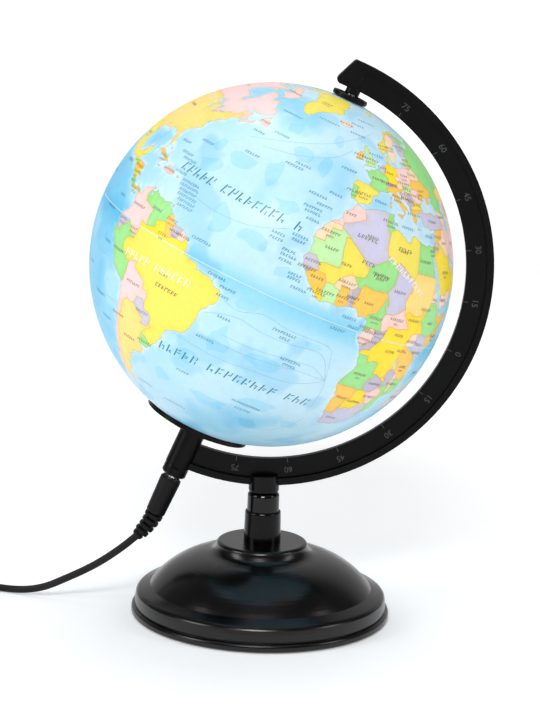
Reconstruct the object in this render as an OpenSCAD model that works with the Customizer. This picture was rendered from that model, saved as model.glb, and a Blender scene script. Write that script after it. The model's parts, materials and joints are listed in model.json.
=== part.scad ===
// Desktop globe on a stand, lit from inside: a ball on a tilted axis, held by a
// graduated C-shaped arm on a round domed base, with its low-voltage lead and adapter.
// Millimetres. +Z is up, the origin is the middle of the base's underside on the
// table, and the arm and the tilted axis lie in the XZ plane.

/* [Globe] */
// Diameter of the ball
ball_d = 200; // [198:0.5:201]
// Wall of the two half shells
shell_t = 2; // [1.5:0.1:2.5]
// Height of the middle of the ball over the table
ball_z = 199.6; // [199:0.1:202]
// Lean of the polar axis from upright, towards the arm
axis_tilt = 23; // [21:0.5:24]
// Radius of the cover at the south pole
cover_r = 30; // [26:0.5:34]
// Radius of the disc at the north pole
disc_r = 10; // [8:0.5:12]

/* [Arm] */
// Inner radius of the arm
arm_r_in = 107.9; // [107.5:0.1:108.5]
// Width of the arm, from its inner to its outer edge
arm_w = 15.1; // [15:0.1:15.5]
// Depth of the arm's rim, from front to back
arm_depth = 8; // [7:0.5:9]
// Thickness of the web inside the rim
web_t = 4; // [3:0.5:5]
// Width of the rim along the outer edge
rim_w = 3.8; // [3:0.1:5]
// How far the arm's own centre lies down the axis from the ball's
arm_drop = 1.5; // [1.2:0.1:1.6]

/* [Base and stem] */
// Radius of the base, at its foot flange
base_r = 73; // [72:0.1:74]
// Height of the flat on top of the base
base_h = 42.3; // [42:0.1:43]
// Radius of that flat
flat_r = 24.5; // [22:0.5:25]
// Radius of the lower sleeve of the stem
sleeve_r = 10.3; // [9.5:0.1:11]
// Radius of the collar over it
collar_r = 9; // [8.5:0.1:9.4]
// Radius of the saddle that grips the arm
saddle_r = 8.6; // [8.2:0.1:9]

/* [Lead and adapter] */
// Width of the flat lead
cord_d = 4.2; // [3.8:0.1:4.6]
// Outside length, width and height of the adapter's case
adapter_size = [38, 62, 27];

/* [Hidden] */
$fn = 64;
eps = 0.01;
ball_r = ball_d / 2;
arm_r_out = arm_r_in + arm_w;
rim_r = arm_r_out - rim_w;

// Heights up the stem
sleeve_top = base_h + 18;
collar_top = sleeve_top + 10.3;
saddle_top = collar_top + 10.6;
arm_foot_z = ball_z - arm_drop * cos(axis_tilt) - arm_r_out;
stem_bolt_r = 3;
arm_screw_r = 1.5;

// Inside the base
pad_t = 1.2;
plate_t = 2;
rim_in_r = base_r - 4.6;
boss_ring_r = 52;
boss_angles = [45:90:315];
bolt_head_z = pad_t + plate_t + 0.2;
weight_z = bolt_head_z + 5.2;
weight_t = 11;
weight_r = 46;

// Distances along the polar axis from the ball's middle, south being negative
hub_top = -104;
hub_end = -125;
collar_end = -131;
plug_face = -133.5;
plug_end = -155.5;
hub_r = 7.2;
tube_r = 5.5;
tube_bore_r = 4;
tube_top = -62;
jack_top = -112.5;
pin_r = 2;
bush_r = 5;
cover_hole_r = 20;

// The strain relief on the plug bends from the axis towards the table
relief_len = 17;
relief_turn = 27;
relief_ribs = 6;
relief_r = [4.9, 3.7];

// Route of the lead, from the strain relief to the coil, and from the coil to the adapter
run_route = [
    [-69.5, 0, 43.8], [-72, 0, 41.4], [-80, 1, 34.3], [-90, 3, 26.4], [-100, 6, 19.6],
    [-111, 9, 13.2], [-123, 12.5, 6.8], [-134, 16, 3.4], [-145, 19.5, 2.2],
    [-156, 23.5, 2.2], [-168, 28.5, 2.4], [-179, 32, 2.8], [-190, 33.2, 3]
];
tail_route = [
    [-190, 33.2, 7.4], [-201, 33.2, 7.6], [-212, 33, 8], [-223, 30.8, 8.6],
    [-233, 26, 9], [-240.5, 19, 9], [-245, 11.5, 9], [-246, 7, 9]
];
coil_mid = [-190, 5];
coil_r = [17.2, 29.6];
coil_z = [0.9, 9.6];
tie_t = 0.8;
tie_w = 6;
adapter_mid = [-246, -35];
adapter_split = 15;
adapter_wall = 2;

// ---------------------------------------------------------------- helpers

// The polar frame: +Z is the axis towards the north pole, +X the arm's side
module polar() {
    translate([0, 0, ball_z]) rotate([0, axis_tilt, 0]) children();
}

// A point of the polar frame's XZ plane in the part's frame
function from_polar(x, z) = [
    x * cos(axis_tilt) + z * sin(axis_tilt), 0,
    ball_z - x * sin(axis_tilt) + z * cos(axis_tilt)
];

// Points on an arc from p to q that bulges to the left by sag
function arc(p, q, sag, steps) =
    let(
        chord = norm(q - p),
        r = (chord * chord / 4 + sag * sag) / (2 * sag),
        dir = (q - p) / chord,
        side = [-dir[1], dir[0]],
        mid = (p + q) / 2 + side * (sag - r),
        half = asin(chord / 2 / r)
    )
    [for (i = [0:steps]) let(a = half - 2 * half * i / steps)
        mid + side * r * cos(a) - dir * r * sin(a)];

// A flat rectangle with round corners
module round_rect(w, h, r) {
    square([w - 2 * r, h], center = true);
    square([w, h - 2 * r], center = true);
    for (x = [-1, 1], y = [-1, 1]) translate([x * (w / 2 - r), y * (h / 2 - r)]) circle(r);
}

// Rings of a tube along a route: one ring of points square to the route at each point
function route_dir(route, i) =
    let(
        a = route[max(i - 1, 0)],
        b = route[min(i + 1, len(route) - 1)]
    )
    (b - a) / norm(b - a);
function tube_ring(centre, dir, r, sides) =
    let(
        flat = cross([0, 0, 1], dir),
        u = flat / norm(flat),
        v = cross(dir, u)
    )
    [for (k = [0:sides - 1]) let(a = 360 * (k + 0.5) / sides) centre + r * (cos(a) * u + sin(a) * v)];
module tube_along(route, r, sides = 8) {
    rings = len(route);
    points = [for (i = [0:rings - 1]) each tube_ring(route[i], route_dir(route, i), r, sides)];
    walls = [for (i = [0:rings - 2], k = [0:sides - 1])
        let(n = (k + 1) % sides)
        [i * sides + k, (i + 1) * sides + k, (i + 1) * sides + n, i * sides + n]];
    start = [for (k = [0:sides - 1]) k];
    finish = [for (k = [sides - 1:-1:0]) (rings - 1) * sides + k];
    polyhedron(points, concat([start], walls, [finish]));
}

// ---------------------------------------------------------------- base

// Outside of the base, as radius and height: flange, groove, band and its shoulder, crease,
// dome, and the neck that flares out of the dome
bead_r = base_r - 2;
crease = [base_r - 10.4, 16.2];
neck_foot = [flat_r + 7, 35.2];
neck_side = [flat_r + 1.6, 39.2];
function base_outside() = concat(
    [[0, 0.4], [base_r - 0.8, 0.4], [base_r, 1.2]],
    arc([base_r, 3.2], [base_r - 1.6, 4.8], -0.4, 4),
    [[bead_r - 0.4, 4.9], [bead_r - 0.4, 5.3]],
    arc([bead_r, 5.8], [bead_r - 0.4, 11.4], -0.15, 3),
    arc([bead_r - 0.5, 12], [bead_r - 2.6, 13.9], -0.25, 4),
    arc(crease, neck_foot, -3.4, 14),
    arc(neck_foot + [-1, 0.3], neck_side, 0.8, 6),
    arc([flat_r + 1.3, 40.2], [flat_r - 0.6, base_h], -0.5, 5),
    [[0, base_h]]
);
function base_inside() = concat(
    [[0, 0], [rim_in_r, 0], [rim_in_r, 9], [base_r - 8, 12.2], [base_r - 12, 12.4]],
    arc([base_r - 13.4, 12.8], [flat_r + 1.2, 32.8], -3.2, 12),
    [[flat_r - 1.6, base_h - 3], [0, base_h - 3]]
);

module base_shell() {
    color("#17181a") difference() {
        union() {
            rotate_extrude($fn = 128) difference() {
                polygon(base_outside());
                polygon(base_inside());
            }
            // Bosses for the plate's screws, and the post that the stem's bolt pulls on
            intersection() {
                rotate_extrude($fn = 128) polygon(base_outside());
                for (a = boss_angles) rotate(a)
                    translate([boss_ring_r, 0, pad_t + plate_t]) cylinder(r = 4, h = 30);
            }
            translate([0, 0, weight_z + weight_t])
                cylinder(r = 9, h = base_h - 2 - weight_z - weight_t);
        }
        for (a = boss_angles) rotate(a)
            translate([boss_ring_r, 0, 0]) cylinder(r = 1.5, h = 15);
        cylinder(r = stem_bolt_r + 0.3, h = base_h + 1);
    }
}

module base_weight() {
    color("#55565a") translate([0, 0, weight_z]) difference() {
        cylinder(r = weight_r, h = weight_t);
        translate([0, 0, -1]) cylinder(r = stem_bolt_r + 0.3, h = weight_t + 2);
    }
}

module base_plate() {
    color("#222326") translate([0, 0, pad_t]) difference() {
        cylinder(r = rim_in_r, h = plate_t, $fn = 128);
        for (a = boss_angles) rotate(a) translate([boss_ring_r, 0, 0]) {
            translate([0, 0, -1]) cylinder(r = 1.5, h = 5);
            translate([0, 0, -1]) cylinder(r = 3.2, h = 2.2);
        }
    }
}

module base_screws() {
    color("#b9bbc0") for (a = boss_angles) rotate(a) translate([boss_ring_r, 0, pad_t]) {
        cylinder(r = 3, h = 1.2);
        translate([0, 0, 1]) cylinder(r = 1.5, h = 11.8);
    }
}

module base_pad() {
    color("#2c2d30") cylinder(r = rim_in_r - 2, h = pad_t, $fn = 128);
}

// ---------------------------------------------------------------- stem

module stem_bolt() {
    color("#b9bbc0") {
        translate([0, 0, bolt_head_z]) cylinder(r = 5.5, h = 4, $fn = 6);
        translate([0, 0, bolt_head_z + 4 - eps])
            cylinder(r = stem_bolt_r, h = collar_top + 3.6 - bolt_head_z - 4);
    }
}

module stem_washer() {
    color("#b9bbc0") translate([0, 0, bolt_head_z + 4]) difference() {
        cylinder(r = 8, h = 1.2);
        translate([0, 0, -1]) cylinder(r = stem_bolt_r + 0.2, h = 4);
    }
}

module stem_nut() {
    color("#b9bbc0") translate([0, 0, collar_top]) difference() {
        cylinder(r = 5.5, h = 3.6, $fn = 6);
        translate([0, 0, -1]) cylinder(r = stem_bolt_r, h = 6);
    }
}

// A turned piece of the stem: rounded at the top, slightly wider at the foot
module turned(r_foot, r_top, h, lip) {
    rotate_extrude() polygon(concat(
        [[stem_bolt_r + 0.3, 0], [r_foot, 0]],
        arc([r_top, h - lip], [r_top - lip, h], -lip * 0.29, 5),
        [[stem_bolt_r + 0.3, h]]
    ));
}

module stem_sleeve() {
    color("#17181a") translate([0, 0, base_h])
        turned(sleeve_r + 0.2, sleeve_r - 0.2, sleeve_top - base_h, 1.4);
}

module stem_collar() {
    color("#101113") translate([0, 0, sleeve_top])
        turned(collar_r, collar_r, collar_top - sleeve_top, 1.8);
}

// The saddle has a slot across its top that fits the arm's rim
module stem_saddle() {
    color("#101113") difference() {
        translate([0, 0, collar_top]) rotate_extrude() polygon(concat(
            [[0, 0], [saddle_r - 1.4, 0]],
            arc([saddle_r - 1.4, 0], [saddle_r, 1.6], -0.4, 4),
            [[saddle_r, saddle_top - collar_top - 0.6],
             [saddle_r - 0.6, saddle_top - collar_top], [0, saddle_top - collar_top]]
        ));
        polar() translate([0, 0, -arm_drop]) rotate([90, 0, 0])
            cylinder(r = arm_r_out, h = arm_depth, center = true, $fn = 256);
        translate([0, 0, collar_top - 1]) cylinder(r = 5.5, h = 4.6, $fn = 6);
        translate([0, 0, arm_screw_z()]) rotate([90, 0, 0]) {
            cylinder(r = arm_screw_r, h = 13, center = true);
            translate([0, 0, -saddle_r - 1]) cylinder(r = 2.9, h = 3);
        }
    }
}

function arm_screw_z() = arm_foot_z + rim_w / 2;

module arm_screw() {
    color("#b9bbc0") translate([0, 0, arm_screw_z()]) rotate([90, 0, 0]) {
        cylinder(r = arm_screw_r, h = 13, center = true);
        translate([0, 0, -saddle_r + 0.2]) cylinder(r = 2.8, h = 1.9);
    }
}

// ---------------------------------------------------------------- arm

// Half of a flat ring on the arm's side, in the arm's own frame
module half_ring(r_in, r_out) {
    difference() {
        circle(r_out, $fn = 256);
        circle(r_in, $fn = 256);
        translate([-2 * arm_r_out, -arm_r_out * 2]) square([arm_r_out * 2, arm_r_out * 4]);
    }
}

// The arm's upper end runs past the pole and is cut off at a slant
module arm_tip() {
    polygon([
        [-eps, arm_r_in - 0.1], [2, arm_r_in], [2, arm_r_out - 0.1], [-eps, arm_r_out],
        [-5.2, arm_r_out - 0.1], [-6.2, arm_r_out - 0.9], [-10.6, arm_r_in + 3.4],
        [-10.9, arm_r_in + 1.8], [-10.2, arm_r_in + 0.4], [-8.8, arm_r_in - 0.3]
    ]);
}

module meridian_arm() {
    arm_pos = [0, 0, -arm_drop];
    color("#141517") difference() {
        union() {
            polar() translate(arm_pos) rotate([90, 0, 0]) {
                translate([0, 0, -web_t / 2]) linear_extrude(web_t) half_ring(arm_r_in, arm_r_out);
                translate([0, 0, -arm_depth / 2]) linear_extrude(arm_depth) {
                    half_ring(rim_r, arm_r_out);
                    arm_tip();
                }
            }
            // A raised tick at every 15 degrees, front and back
            polar() translate(arm_pos) for (lat = [-75:15:75]) rotate([0, -lat, 0])
                translate([arm_r_in + 0.4, -web_t / 2 - 0.3, -0.25]) cube([2.2, web_t + 0.6, 0.5]);
            // Boss over the pole disc, and the hub at the arm's lower end
            polar() translate([0, 0, 103.4]) cylinder(r = 4, h = 4.4);
            polar() translate([0, 0, hub_end]) cylinder(r = hub_r, h = hub_top - hub_end);
        }
        polar() translate([0, 0, 102]) cylinder(r = pin_r, h = 15);
        polar() translate([0, 0, hub_end - 1]) cylinder(r = tube_r, h = hub_top - hub_end + 2);
        translate([0, 0, arm_screw_z()]) rotate([90, 0, 0])
            cylinder(r = arm_screw_r, h = 13, center = true);
    }
}

module pole_pin() {
    color("#b9bbc0") polar() translate([0, 0, 93]) cylinder(r = pin_r, h = 24);
}

module thrust_washer() {
    color("#202124") polar() translate([0, 0, hub_top]) difference() {
        cylinder(r = hub_r, h = 1.2);
        translate([0, 0, -1]) cylinder(r = tube_r, h = 4);
    }
}

// ---------------------------------------------------------------- lamp

module lamp_tube() {
    color("#dcdcd8") polar() translate([0, 0, jack_top]) difference() {
        cylinder(r = tube_r, h = tube_top - jack_top);
        translate([0, 0, -1]) cylinder(r = tube_bore_r, h = tube_top - jack_top + 2);
    }
}

module lamp_holder() {
    color("#e9e9e4") polar() translate([0, 0, tube_top - 6]) difference() {
        union() {
            cylinder(r = 8, h = 6);
            translate([0, 0, 6]) cylinder(r = 14, h = 7);
        }
        translate([0, 0, -1]) cylinder(r = tube_r, h = 7);
        translate([0, 0, 5]) cylinder(r = 3, h = 9);
        translate([0, 0, 9]) cylinder(r = 12.4, h = 5);
    }
}

module led_board() {
    color("#e8e8e8") polar() translate([0, 0, tube_top + 3]) difference() {
        cylinder(r = 12.4, h = 1.6);
        translate([0, 0, -1]) cylinder(r = 1.6, h = 4);
    }
}

module leds() {
    color("#f4e6a0") polar() translate([0, 0, tube_top + 4.6])
        for (a = [0:60:300]) rotate(a) translate([7.6, 0, 0.75]) cube([3.5, 2.8, 1.5], center = true);
}

module lamp_diffuser() {
    color("#f6f6f2") polar() translate([0, 0, tube_top + 7]) difference() {
        union() {
            cylinder(r = 14, h = 12);
            translate([0, 0, 12]) intersection() {
                sphere(r = 14);
                cylinder(r = 15, h = 15);
            }
        }
        translate([0, 0, -1]) cylinder(r = 12.6, h = 13);
        translate([0, 0, 12]) sphere(r = 12.6);
    }
}

// Two wires from the socket up the tube to the board
module lamp_wires() {
    color("#b8322a") polar() for (x = [-1.3, 1.3])
        translate([x, 0, jack_top]) cylinder(r = 0.7, h = tube_top + 3 - jack_top);
}

// ---------------------------------------------------------------- socket

module dc_jack() {
    color("#1d1e20") polar() {
        difference() {
            union() {
                translate([0, 0, hub_end]) cylinder(r = tube_r, h = jack_top - hub_end);
                translate([0, 0, collar_end + 0.2]) cylinder(r = 4.8, h = 8);
            }
            translate([0, 0, collar_end - 1]) cylinder(r = 2.85, h = 11);
        }
        translate([0, 0, collar_end + 2]) cylinder(r = 1, h = 9);
    }
}

module jack_nut() {
    color("#141517") polar() translate([0, 0, collar_end]) rotate_extrude() polygon([
        [4.8, 0], [6.2, 0], [7, 0.9], [7, 4.6], [6.7, 6], [4.8, 6]
    ]);
}

// ---------------------------------------------------------------- ball

// The wall of the ball between two heights along the axis
module ball_wall(z0, z1) {
    difference() {
        intersection() {
            sphere(r = ball_r, $fn = 128);
            translate([0, 0, z0]) cylinder(r = ball_r + 1, h = z1 - z0, $fn = 32);
        }
        sphere(r = ball_r - shell_t, $fn = 128);
    }
}

module globe_north() {
    color("#9fdcf2") polar() difference() {
        ball_wall(0, ball_r + 1);
        cylinder(r = bush_r, h = ball_r + 5);
    }
}

module globe_south() {
    color("#9fdcf2") polar() difference() {
        ball_wall(-ball_r - 1, 0);
        translate([0, 0, -ball_r - 5]) cylinder(r = cover_hole_r, h = ball_r);
    }
}

// The band inside the joint that keeps the two shells in line
module equator_ring() {
    color("#cfe9f2") polar() difference() {
        intersection() {
            sphere(r = ball_r - shell_t, $fn = 128);
            cylinder(r = ball_r, h = 8, center = true, $fn = 128);
        }
        cylinder(r = ball_r - shell_t - 2.2, h = 10, center = true, $fn = 128);
    }
}

// Bush at the north pole: the disc over the ball, its neck, and the lip inside
module pole_bush() {
    color("#141517") polar() rotate_extrude() polygon([
        [pin_r + 0.05, 92], [bush_r, 92], [bush_r, 95], [bush_r + 1.6, 95.8],
        [bush_r + 1.6, ball_r - shell_t - 0.4], [bush_r, ball_r - shell_t - 0.2],
        [bush_r, ball_r + 0.1], [disc_r - 0.6, ball_r + 0.1], [disc_r, ball_r + 0.7],
        [disc_r, ball_r + 2.4], [disc_r - 0.4, ball_r + 2.8], [disc_r - 1.4, ball_r + 2.8],
        [disc_r - 1.8, ball_r + 2], [pin_r + 0.05, ball_r + 2]
    ]);
}

// Cover at the south pole, with the skirt that clips into the ball and the sleeve that turns on the tube
module south_cover() {
    color("#141517") polar() difference() {
        union() {
            difference() {
                intersection() {
                    sphere(r = ball_r + 2.7, $fn = 128);
                    translate([0, 0, -ball_r - 2.5]) cylinder(r = cover_r, h = 30);
                }
                sphere(r = ball_r + 0.05, $fn = 128);
                translate([0, 0, -80]) cylinder(r = cover_r + 1, h = 30);
            }
            translate([0, 0, -ball_r - 1]) difference() {
                cylinder(r = cover_hole_r, h = 9);
                translate([0, 0, -1]) cylinder(r = cover_hole_r - 1.8, h = 11);
            }
            translate([0, 0, -ball_r - 1]) cylinder(r = 8, h = 11);
        }
        translate([0, 0, -ball_r - 5]) cylinder(r = tube_r + 0.05, h = 20);
    }
}

// ---------------------------------------------------------------- plug and lead

module plug_barrel() {
    color("#c9cbd0") polar() translate([0, 0, plug_face]) difference() {
        cylinder(r = 2.75, h = 9.5);
        translate([0, 0, 0.6]) cylinder(r = 1.1, h = 10);
    }
}

module plug_body() {
    color("#121314") polar() rotate_extrude() polygon([
        [0, plug_end], [5.2, plug_end], [5.5, plug_end + 1], [6, plug_face - 2.6],
        [6, plug_face - 0.5], [5.6, plug_face], [0, plug_face]
    ]);
}

// Places children a given part of the way along the bent strain relief
module on_relief(t) {
    turn = relief_turn * t;
    bend_r = relief_len / (relief_turn * PI / 180);
    foot = from_polar(0, plug_end);
    polar() translate([0, 0, plug_end]) translate([-bend_r * (1 - cos(turn)), 0, -bend_r * sin(turn)])
        rotate([0, turn, 0]) children();
}

module plug_relief() {
    color("#121314") {
        for (i = [0:relief_ribs - 1]) on_relief(i / relief_ribs)
            translate([0, 0, -1.7]) cylinder(
                r1 = relief_r[0] - (relief_r[0] - relief_r[1]) * (i + 0.6) / relief_ribs,
                r2 = relief_r[0] - (relief_r[0] - relief_r[1]) * i / relief_ribs, h = 1.7);
        for (i = [0:relief_ribs - 1]) on_relief(i / relief_ribs)
            translate([0, 0, -3.1]) cylinder(r = 2.9, h = 3.2);
        on_relief(1) cylinder(r = 3.1, h = 1.4);
    }
}

module cord_run() {
    color("#1b1b1c") tube_along(run_route, cord_d / 2);
}

module cord_tail() {
    color("#1b1b1c") tube_along(tail_route, cord_d / 2);
}

module cord_coil() {
    color("#1b1b1c") translate([coil_mid[0], coil_mid[1], coil_z[0]]) rotate_extrude()
        translate([coil_r[0], 0]) square([coil_r[1] - coil_r[0], coil_z[1] - coil_z[0]]);
}

// The band that holds the coil together, on the side away from the globe
module cord_tie() {
    tie_in = [coil_r[1] - coil_r[0], coil_z[1] - coil_z[0]];
    color("#0e0e0f") translate([coil_mid[0], coil_mid[1], 0]) rotate(-90)
        translate([(coil_r[0] + coil_r[1]) / 2, 0, (coil_z[0] + coil_z[1]) / 2])
        difference() {
            cube([tie_in[0] + 2 * tie_t, tie_w, tie_in[1] + 2 * tie_t], center = true);
            cube([tie_in[0], tie_w + 2, tie_in[1]], center = true);
        }
}

// ---------------------------------------------------------------- adapter

// A slab of the adapter's case between two heights
module adapter_slab(z0, z1, inset = 0) {
    translate([adapter_mid[0], adapter_mid[1], z0]) linear_extrude(z1 - z0)
        round_rect(adapter_size[0] - 2 * inset, adapter_size[1] - 2 * inset, 6 - inset);
}

module adapter_back() {
    color("#18191b") difference() {
        adapter_slab(0, adapter_split);
        adapter_slab(adapter_wall, adapter_split + 1, adapter_wall);
    }
}

module adapter_front() {
    color("#18191b") difference() {
        adapter_slab(adapter_split, adapter_size[2]);
        adapter_slab(adapter_split - 1, adapter_size[2] - adapter_wall, adapter_wall);
        for (x = [-9.5, 9.5])
            translate([adapter_mid[0] + x, adapter_mid[1] + 5, 0]) cylinder(r = 2, h = 40);
    }
}

module adapter_pins() {
    color("#c9cbd0") for (x = [-9.5, 9.5])
        translate([adapter_mid[0] + x, adapter_mid[1] + 5, adapter_size[2] - 5])
            cylinder(r = 2, h = 24);
}

// The circuit board with its transformer and capacitor
module adapter_board() {
    color("#2f6b3c") translate([adapter_mid[0], adapter_mid[1], 0]) {
        translate([0, 0, 5.8]) cube([32, 54, 1.6], center = true);
        translate([-4, 10, 11.6]) cube([18, 16, 10], center = true);
        translate([5, -14, 6.6]) cylinder(r = 5, h = 11);
    }
}

module adapter_relief() {
    color("#121314") translate([adapter_mid[0], adapter_mid[1] + adapter_size[1] / 2, 9])
        rotate([-90, 0, 0]) cylinder(r1 = 4.2, r2 = 2.7, h = 13);
}

// ---------------------------------------------------------------- nodes

base_pad();
base_plate();
base_screws();
base_weight();
base_shell();
stem_bolt();
stem_washer();
stem_nut();
stem_sleeve();
stem_collar();
stem_saddle();
arm_screw();
meridian_arm();
pole_pin();
thrust_washer();
lamp_tube();
lamp_holder();
led_board();
leds();
lamp_diffuser();
lamp_wires();
dc_jack();
jack_nut();
globe_north();
globe_south();
equator_ring();
pole_bush();
south_cover();
plug_barrel();
plug_body();
plug_relief();
cord_run();
cord_coil();
cord_tail();
cord_tie();
adapter_back();
adapter_front();
adapter_pins();
adapter_board();
adapter_relief();
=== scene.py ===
import json
import math
import random
from math import cos, degrees, pi, radians, sin

import bmesh
import bpy
import numpy as np
from mathutils import Matrix, Vector, geometry, noise


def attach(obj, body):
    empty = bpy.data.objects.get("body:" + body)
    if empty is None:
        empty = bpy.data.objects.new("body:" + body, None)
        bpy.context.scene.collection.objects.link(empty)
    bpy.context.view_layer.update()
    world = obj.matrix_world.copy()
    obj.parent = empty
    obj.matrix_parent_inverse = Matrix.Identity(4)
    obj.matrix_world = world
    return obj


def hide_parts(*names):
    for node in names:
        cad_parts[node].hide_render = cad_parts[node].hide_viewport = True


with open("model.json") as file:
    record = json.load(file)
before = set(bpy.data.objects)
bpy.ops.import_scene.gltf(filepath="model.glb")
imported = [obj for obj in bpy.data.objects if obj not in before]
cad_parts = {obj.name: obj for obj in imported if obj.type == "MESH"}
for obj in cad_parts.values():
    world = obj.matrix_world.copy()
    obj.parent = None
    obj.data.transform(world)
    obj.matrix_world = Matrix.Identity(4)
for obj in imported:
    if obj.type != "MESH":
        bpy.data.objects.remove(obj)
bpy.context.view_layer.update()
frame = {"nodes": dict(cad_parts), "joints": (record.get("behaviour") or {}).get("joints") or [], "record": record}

MM = 0.001
nodes = frame["nodes"]

# The ball turns about this axis through its own middle, and the polar frame has +Z towards the
# north pole and +X towards the arm
spin = frame["joints"][0]
ball_mid = Vector(spin["pos_m"])
north = Vector(spin["axis"]).normalized()
TILT = math.atan2(north.x, north.z)
POLAR = Matrix.Translation(ball_mid) @ Matrix.Rotation(TILT, 4, "Y")
BALL_R = max((v.co - ball_mid).length for v in nodes["globe_north"].data.vertices)

# ---------------------------------------------------------------- camera

# Fitted to the ball, the arm and the base in the photo
CAMERA_DISTANCE = 1.2
CAMERA_ELEVATION = radians(11.6)
CAMERA_ROLL = radians(1.93)
CAMERA_AIM = Vector((0.00108, 0, 0.1462))
CAMERA_LENS = 107.985
SENSOR_WIDTH = 36
CLIP_START, CLIP_END = 0.05, 60


def place_camera():
    """The camera looks along +Y and down a little, rolled by the photographer's own tilt."""
    back = Vector((0, -cos(CAMERA_ELEVATION), sin(CAMERA_ELEVATION)))
    level_right = Vector((1, 0, 0))
    level_up = back.cross(level_right)
    right = cos(CAMERA_ROLL) * level_right + sin(CAMERA_ROLL) * level_up
    up = back.cross(right)
    data = bpy.data.cameras.new("camera")
    data.sensor_fit = "AUTO"
    data.sensor_width = SENSOR_WIDTH
    data.lens = CAMERA_LENS
    data.clip_start, data.clip_end = CLIP_START, CLIP_END
    camera = bpy.data.objects.new("camera", data)
    bpy.context.scene.collection.objects.link(camera)
    place = Matrix((right, up, back)).transposed().to_4x4()
    place.translation = CAMERA_AIM + CAMERA_DISTANCE * back
    camera.matrix_world = place
    bpy.context.scene.camera = camera


place_camera()

# ---------------------------------------------------------------- mesh helpers


def new_object(name, mesh, body):
    """A finished mesh as a piece that rides on a CAD body."""
    piece = bpy.data.objects.new(name, mesh)
    bpy.context.scene.collection.objects.link(piece)
    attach(piece, body)
    return piece


def mesh_from(name, points, faces, smooth=True, closed=True):
    """A mesh from points and faces; a closed one gets its faces turned outward."""
    mesh = bpy.data.meshes.new(name)
    mesh.from_pydata([tuple(p) for p in points], [], faces)
    mesh.validate()
    if closed:
        work = bmesh.new()
        work.from_mesh(mesh)
        bmesh.ops.recalc_face_normals(work, faces=work.faces)
        work.to_mesh(mesh)
        work.free()
    if smooth:
        mesh.shade_smooth()
    else:
        mesh.shade_flat()
    return mesh


def sweep(name, rings):
    """A closed tube through rings of points, which all have the same number of points."""
    sides = len(rings[0])
    points = [p for ring in rings for p in ring]
    faces = []
    for i in range(len(rings) - 1):
        for k in range(sides):
            n = (k + 1) % sides
            faces.append((i * sides + k, i * sides + n, (i + 1) * sides + n, (i + 1) * sides + k))
    last = (len(rings) - 1) * sides
    faces.append(tuple(reversed(range(sides))))
    faces.append(tuple(last + k for k in range(sides)))
    return mesh_from(name, points, faces)


def add_block(work, low, high):
    """A closed block between two rings of four corners, added to a bmesh."""
    low = [work.verts.new(p) for p in low]
    high = [work.verts.new(p) for p in high]
    work.faces.new(low[::-1])
    work.faces.new(high)
    for i in range(4):
        work.faces.new((low[i], low[(i + 1) % 4], high[(i + 1) % 4], high[i]))


def mesh_of(name, work):
    """Turns a finished bmesh into a named mesh."""
    mesh = bpy.data.meshes.new(name)
    work.to_mesh(mesh)
    work.free()
    return mesh


def through(points, steps):
    """A smooth line (Catmull-Rom) through given points, with steps pieces to each span."""
    ends = [2 * points[0] - points[1], *points, 2 * points[-1] - points[-2]]
    line = []
    for a, b, c, d in zip(ends, ends[1:], ends[2:], ends[3:]):
        for i in range(steps):
            t = i / steps
            line.append(0.5 * (2 * b + (c - a) * t + (2 * a - 5 * b + 4 * c - d) * t * t
                               + (3 * b - 3 * c + d - a) * t ** 3))
    line.append(points[-1])
    return line

# ---------------------------------------------------------------- materials


def srgb(red, green, blue):
    """A colour of 0-255 sRGB values as linear RGBA."""
    def linear(c):
        c = c / 255
        return c / 12.92 if c <= 0.04045 else ((c + 0.055) / 1.055) ** 2.4
    return (linear(red), linear(green), linear(blue), 1)


def shader(name, sockets):
    """A material whose shader has these constant sockets; returns it with its node tree."""
    material = bpy.data.materials.new(name)
    material.use_nodes = True
    tree = material.node_tree
    bsdf = tree.nodes["Principled BSDF"]
    for socket, value in sockets.items():
        bsdf.inputs[socket].default_value = value
    return material, tree, bsdf


def coordinates(tree):
    """The object's own coordinates, which stay on it when it moves."""
    return tree.nodes.new("ShaderNodeTexCoord").outputs["Object"]


def noise_of(tree, scale, detail=4, roughness=0.55):
    """A noise in the object's coordinates, around 0.5."""
    node = tree.nodes.new("ShaderNodeTexNoise")
    node.inputs["Scale"].default_value = scale
    node.inputs["Detail"].default_value = detail
    node.inputs["Roughness"].default_value = roughness
    tree.links.new(coordinates(tree), node.inputs["Vector"])
    return node.outputs["Fac"]


def ramp_of(tree, source, stops):
    """Turns a 0-1 value into a colour; stops are (place, linear RGBA) pairs."""
    node = tree.nodes.new("ShaderNodeValToRGB")
    ramp = node.color_ramp
    while len(ramp.elements) < len(stops):
        ramp.elements.new(0.5)
    for element, (place, colour) in zip(ramp.elements, stops):
        element.position = place
        element.color = colour
    tree.links.new(source, node.inputs["Fac"])
    return node.outputs["Color"]


def ranged(tree, source, low, high, source_low=0.3, source_high=0.7):
    """Maps a value from the source's range to another one, such as a noise to a roughness."""
    node = tree.nodes.new("ShaderNodeMapRange")
    node.inputs["From Min"].default_value = source_low
    node.inputs["From Max"].default_value = source_high
    node.inputs["To Min"].default_value = low
    node.inputs["To Max"].default_value = high
    tree.links.new(source, node.inputs["Value"])
    return node.outputs["Result"]


def bump_of(tree, source, distance):
    """A normal that follows a height; distance is the relief's depth in metres."""
    node = tree.nodes.new("ShaderNodeBump")
    node.inputs["Distance"].default_value = distance
    tree.links.new(source, node.inputs["Height"])
    return node.outputs["Normal"]


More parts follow.
